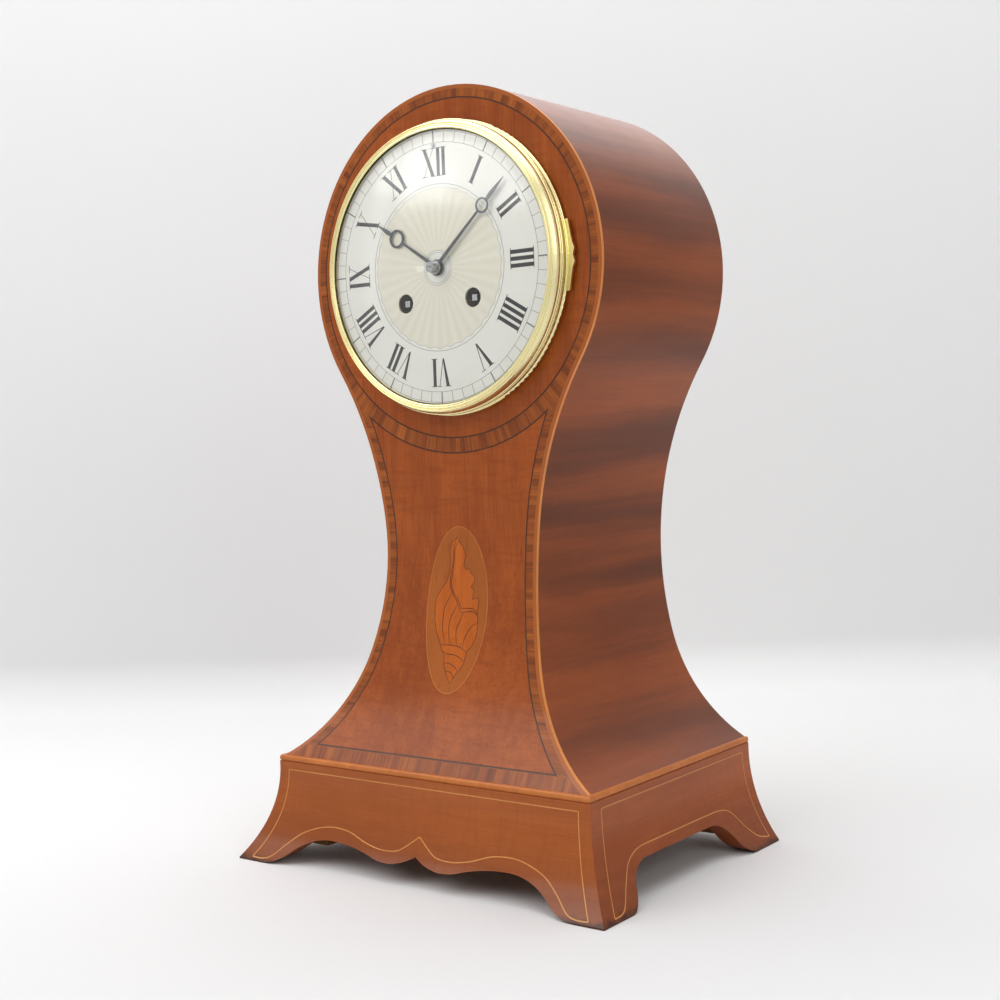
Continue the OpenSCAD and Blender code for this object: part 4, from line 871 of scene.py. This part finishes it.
def front_outlines(node):
    """Closed outlines of a flat piece's front face, in millimetres of width and height."""
    bm = bmesh.new()
    bm.from_mesh(nodes[node].data)
    bmesh.ops.remove_doubles(bm, verts=bm.verts, dist=1e-6)
    links = {}
    for edge in bm.edges:
        if len({face.normal.y < -0.6 for face in edge.link_faces}) == 2:
            a, b = edge.verts
            links.setdefault(a, []).append(b)
            links.setdefault(b, []).append(a)
    loops = []
    while links:
        here = min(links, key=lambda v: v.index)
        loop = []
        while here in links:
            loop.append(Vector((here.co.x / MM, here.co.z / MM)))
            ahead = links.pop(here)
            here = next((v for v in ahead if v in links), ahead[0])
        loops.append(loop)
    bm.free()
    return loops


lines = bmesh.new()
for outline in front_outlines("shell_inlay"):
    inlay_line(lines, outline, SHELL_EDGE, on_front, closed=True)
for line in SHELL_LINES:
    path = smooth_path([(x, z + OVAL_MM) for x, z in line])
    inlay_line(lines, path, SHELL_LINE, on_front, taper=True)
add_mesh("shell_lines", lines, SCORCHED, "case")

ring = bmesh.new()
turns = [math.tau * i / OVAL_STEPS for i in range(OVAL_STEPS)]
oval = [Vector((OVAL_HALF[0] * math.sin(a), OVAL_MM + OVAL_HALF[1] * math.cos(a))) for a in turns]
inlay_line(ring, oval, OVAL_LINE, on_front, closed=True)
add_mesh("oval_line", ring, EDGE, "case")


# Floor, light and camera

# The camera's place and turn in the photograph
YAW = math.radians(36.86)
PITCH = math.radians(-2.62)
ROLL = math.radians(-1.98)
EYE = Vector((0.49706, FRONT_Y - 0.62428, 0.22833))
LENS = 54.97
SHIFT = (-0.00258, 0.00082)

# The paper, in metres along the view and to each side of it
PAPER_NEAR = -1.9
PAPER_FAR = 0.45
PAPER_HALF = 2.4
PAPER_HIGH = 4.0
BEND = 0.04
FLOOR_HALF = 2
FLOOR_Z = -0.5 * MM
# Paper tones from the floor up the wall, paler with height as painted light
PAPER_PAINTED_LIGHT_TONES = ((0.735, 0.735, 0.738), (0.79, 0.79, 0.793), (0.85, 0.85, 0.853))
SKY_LIGHT = 0.2
SKY_SEEN = 0.8

forward = Vector((-math.sin(YAW) * math.cos(PITCH), math.cos(YAW) * math.cos(PITCH), math.sin(PITCH)))
aside = Vector((math.cos(YAW), math.sin(YAW), 0))
ahead = Vector((-math.sin(YAW), math.cos(YAW), 0))
upright = aside.cross(forward)
right = math.cos(ROLL) * aside + math.sin(ROLL) * upright
up = -math.sin(ROLL) * aside + math.cos(ROLL) * upright


def paper(name, low, middle, high):
    """White paper, paler with height as painted light, and clear from behind so that it hides nothing."""
    mat, tree, shader = new_material(name)
    _, _, z = parts_of(tree, own_place(tree))
    # Darker on the floor and paler up the wall: painted light
    tone = blend_colour(tree, remap(tree, z, 0.0, BEND), low, middle)
    tone = blend_colour(tree, remap(tree, z, 0.05, 0.6), tone, high)
    dress(tree, shader, {"Base Color": tone, "Roughness": 0.75, "Specular IOR Level": 0.2})
    clear = tree.nodes.new("ShaderNodeBsdfTransparent")
    back = tree.nodes.new("ShaderNodeNewGeometry").outputs["Backfacing"]
    mix_shaders(tree, back, shader, clear)
    return mat


def add_stage(name, bm, material):
    """Makes a smooth object of a mesh, with its material, for the studio."""
    mesh = bpy.data.meshes.new(name)
    bm.to_mesh(mesh)
    bm.free()
    for polygon in mesh.polygons:
        polygon.use_smooth = True
    mesh.materials.append(material)
    backdrop = bpy.data.objects.new(name, mesh)
    bpy.context.scene.collection.objects.link(backdrop)


def softbox(name, place, aim, size, power):
    """Soft lamp at a place, turned towards a point."""
    data = bpy.data.lights.new(name, "AREA")
    data.shape = "RECTANGLE"
    data.size, data.size_y = size
    data.energy = power
    lamp = bpy.data.objects.new(name, data)
    lamp.location = place
    lamp.rotation_euler = (Vector(aim) - Vector(place)).to_track_quat("-Z", "Y").to_euler()
    bpy.context.scene.collection.objects.link(lamp)


PAPER = paper("White paper", *PAPER_PAINTED_LIGHT_TONES)
sweep = bmesh.new()
profile = [(PAPER_NEAR, 0.0), (PAPER_FAR, 0.0)]
for angle in range(6, 91, 6):
    a = math.radians(angle)
    profile.append((PAPER_FAR + BEND * math.sin(a), BEND - BEND * math.cos(a)))
profile.append((PAPER_FAR + BEND, PAPER_HIGH))
rows = []
for d, z in profile:
    middle = ahead * d + Vector((0, 0, z))
    rows.append([sweep.verts.new(middle + aside * s) for s in (-PAPER_HALF, PAPER_HALF)])
for a, b in zip(rows, rows[1:]):
    sweep.faces.new((a[0], a[1], b[1], b[0]))
add_stage("Backdrop", sweep, PAPER)

around = bmesh.new()
corners = [(-1, -1), (1, -1), (1, 1), (-1, 1)]
around.faces.new([around.verts.new((x * FLOOR_HALF, y * FLOOR_HALF, FLOOR_Z)) for x, y in corners])
add_stage("Floor", around, PAPER)

softbox("Key softbox", (-1.2, -2.3, 2.6), (0, 0.1, 0.25), (3.2, 2.4), 55)
softbox("Top softbox", (0.3, -0.1, 2.6), (0, 0.0, 0.0), (2.6, 2.2), 27)
softbox("Right softbox", (2.4, -1.0, 1.4), (0, 0, 0.25), (1.6, 1.6), 17)
softbox("Sheen softbox", (-0.78, -0.68, 0.9), (0, -0.06, 0.07), (0.7, 0.22), 0.7)
softbox("Left card", (-2.2, -0.5, 0.7), (0, 0, 0.3), (1.6, 1.8), 6)
softbox("Rear softbox", (-0.24, 0.32, 1.05), (0.05, 0, 0.35), (1.3, 0.5), 6.5)

# The world lights little, but is pale where it is seen, mirrored or looked at through glass
world = bpy.data.worlds.new("Studio")
world.use_nodes = True
sky = world.node_tree
rays = sky.nodes.new("ShaderNodeLightPath").outputs
mirrored = calc(sky, "MAXIMUM", rays["Is Glossy Ray"], rays["Is Transmission Ray"])
looked_at = calc(sky, "MAXIMUM", rays["Is Camera Ray"], mirrored)
strength = remap(sky, looked_at, 0.0, 1.0, SKY_LIGHT, SKY_SEEN)
dress(sky, sky.nodes["Background"], {"Color": (1, 1, 1), "Strength": strength})
bpy.context.scene.world = world

data = bpy.data.cameras.new("Camera")
data.lens = LENS
data.sensor_width = 36
data.shift_x, data.shift_y = SHIFT
data.clip_start = 0.01
camera = bpy.data.objects.new("Camera", data)
turn = Matrix((right, up, -forward)).transposed().to_4x4()
camera.matrix_world = Matrix.Translation(EYE) @ turn
bpy.context.scene.collection.objects.link(camera)
bpy.context.scene.camera = camera
bpy.context.scene.view_settings.view_transform = "Standard"
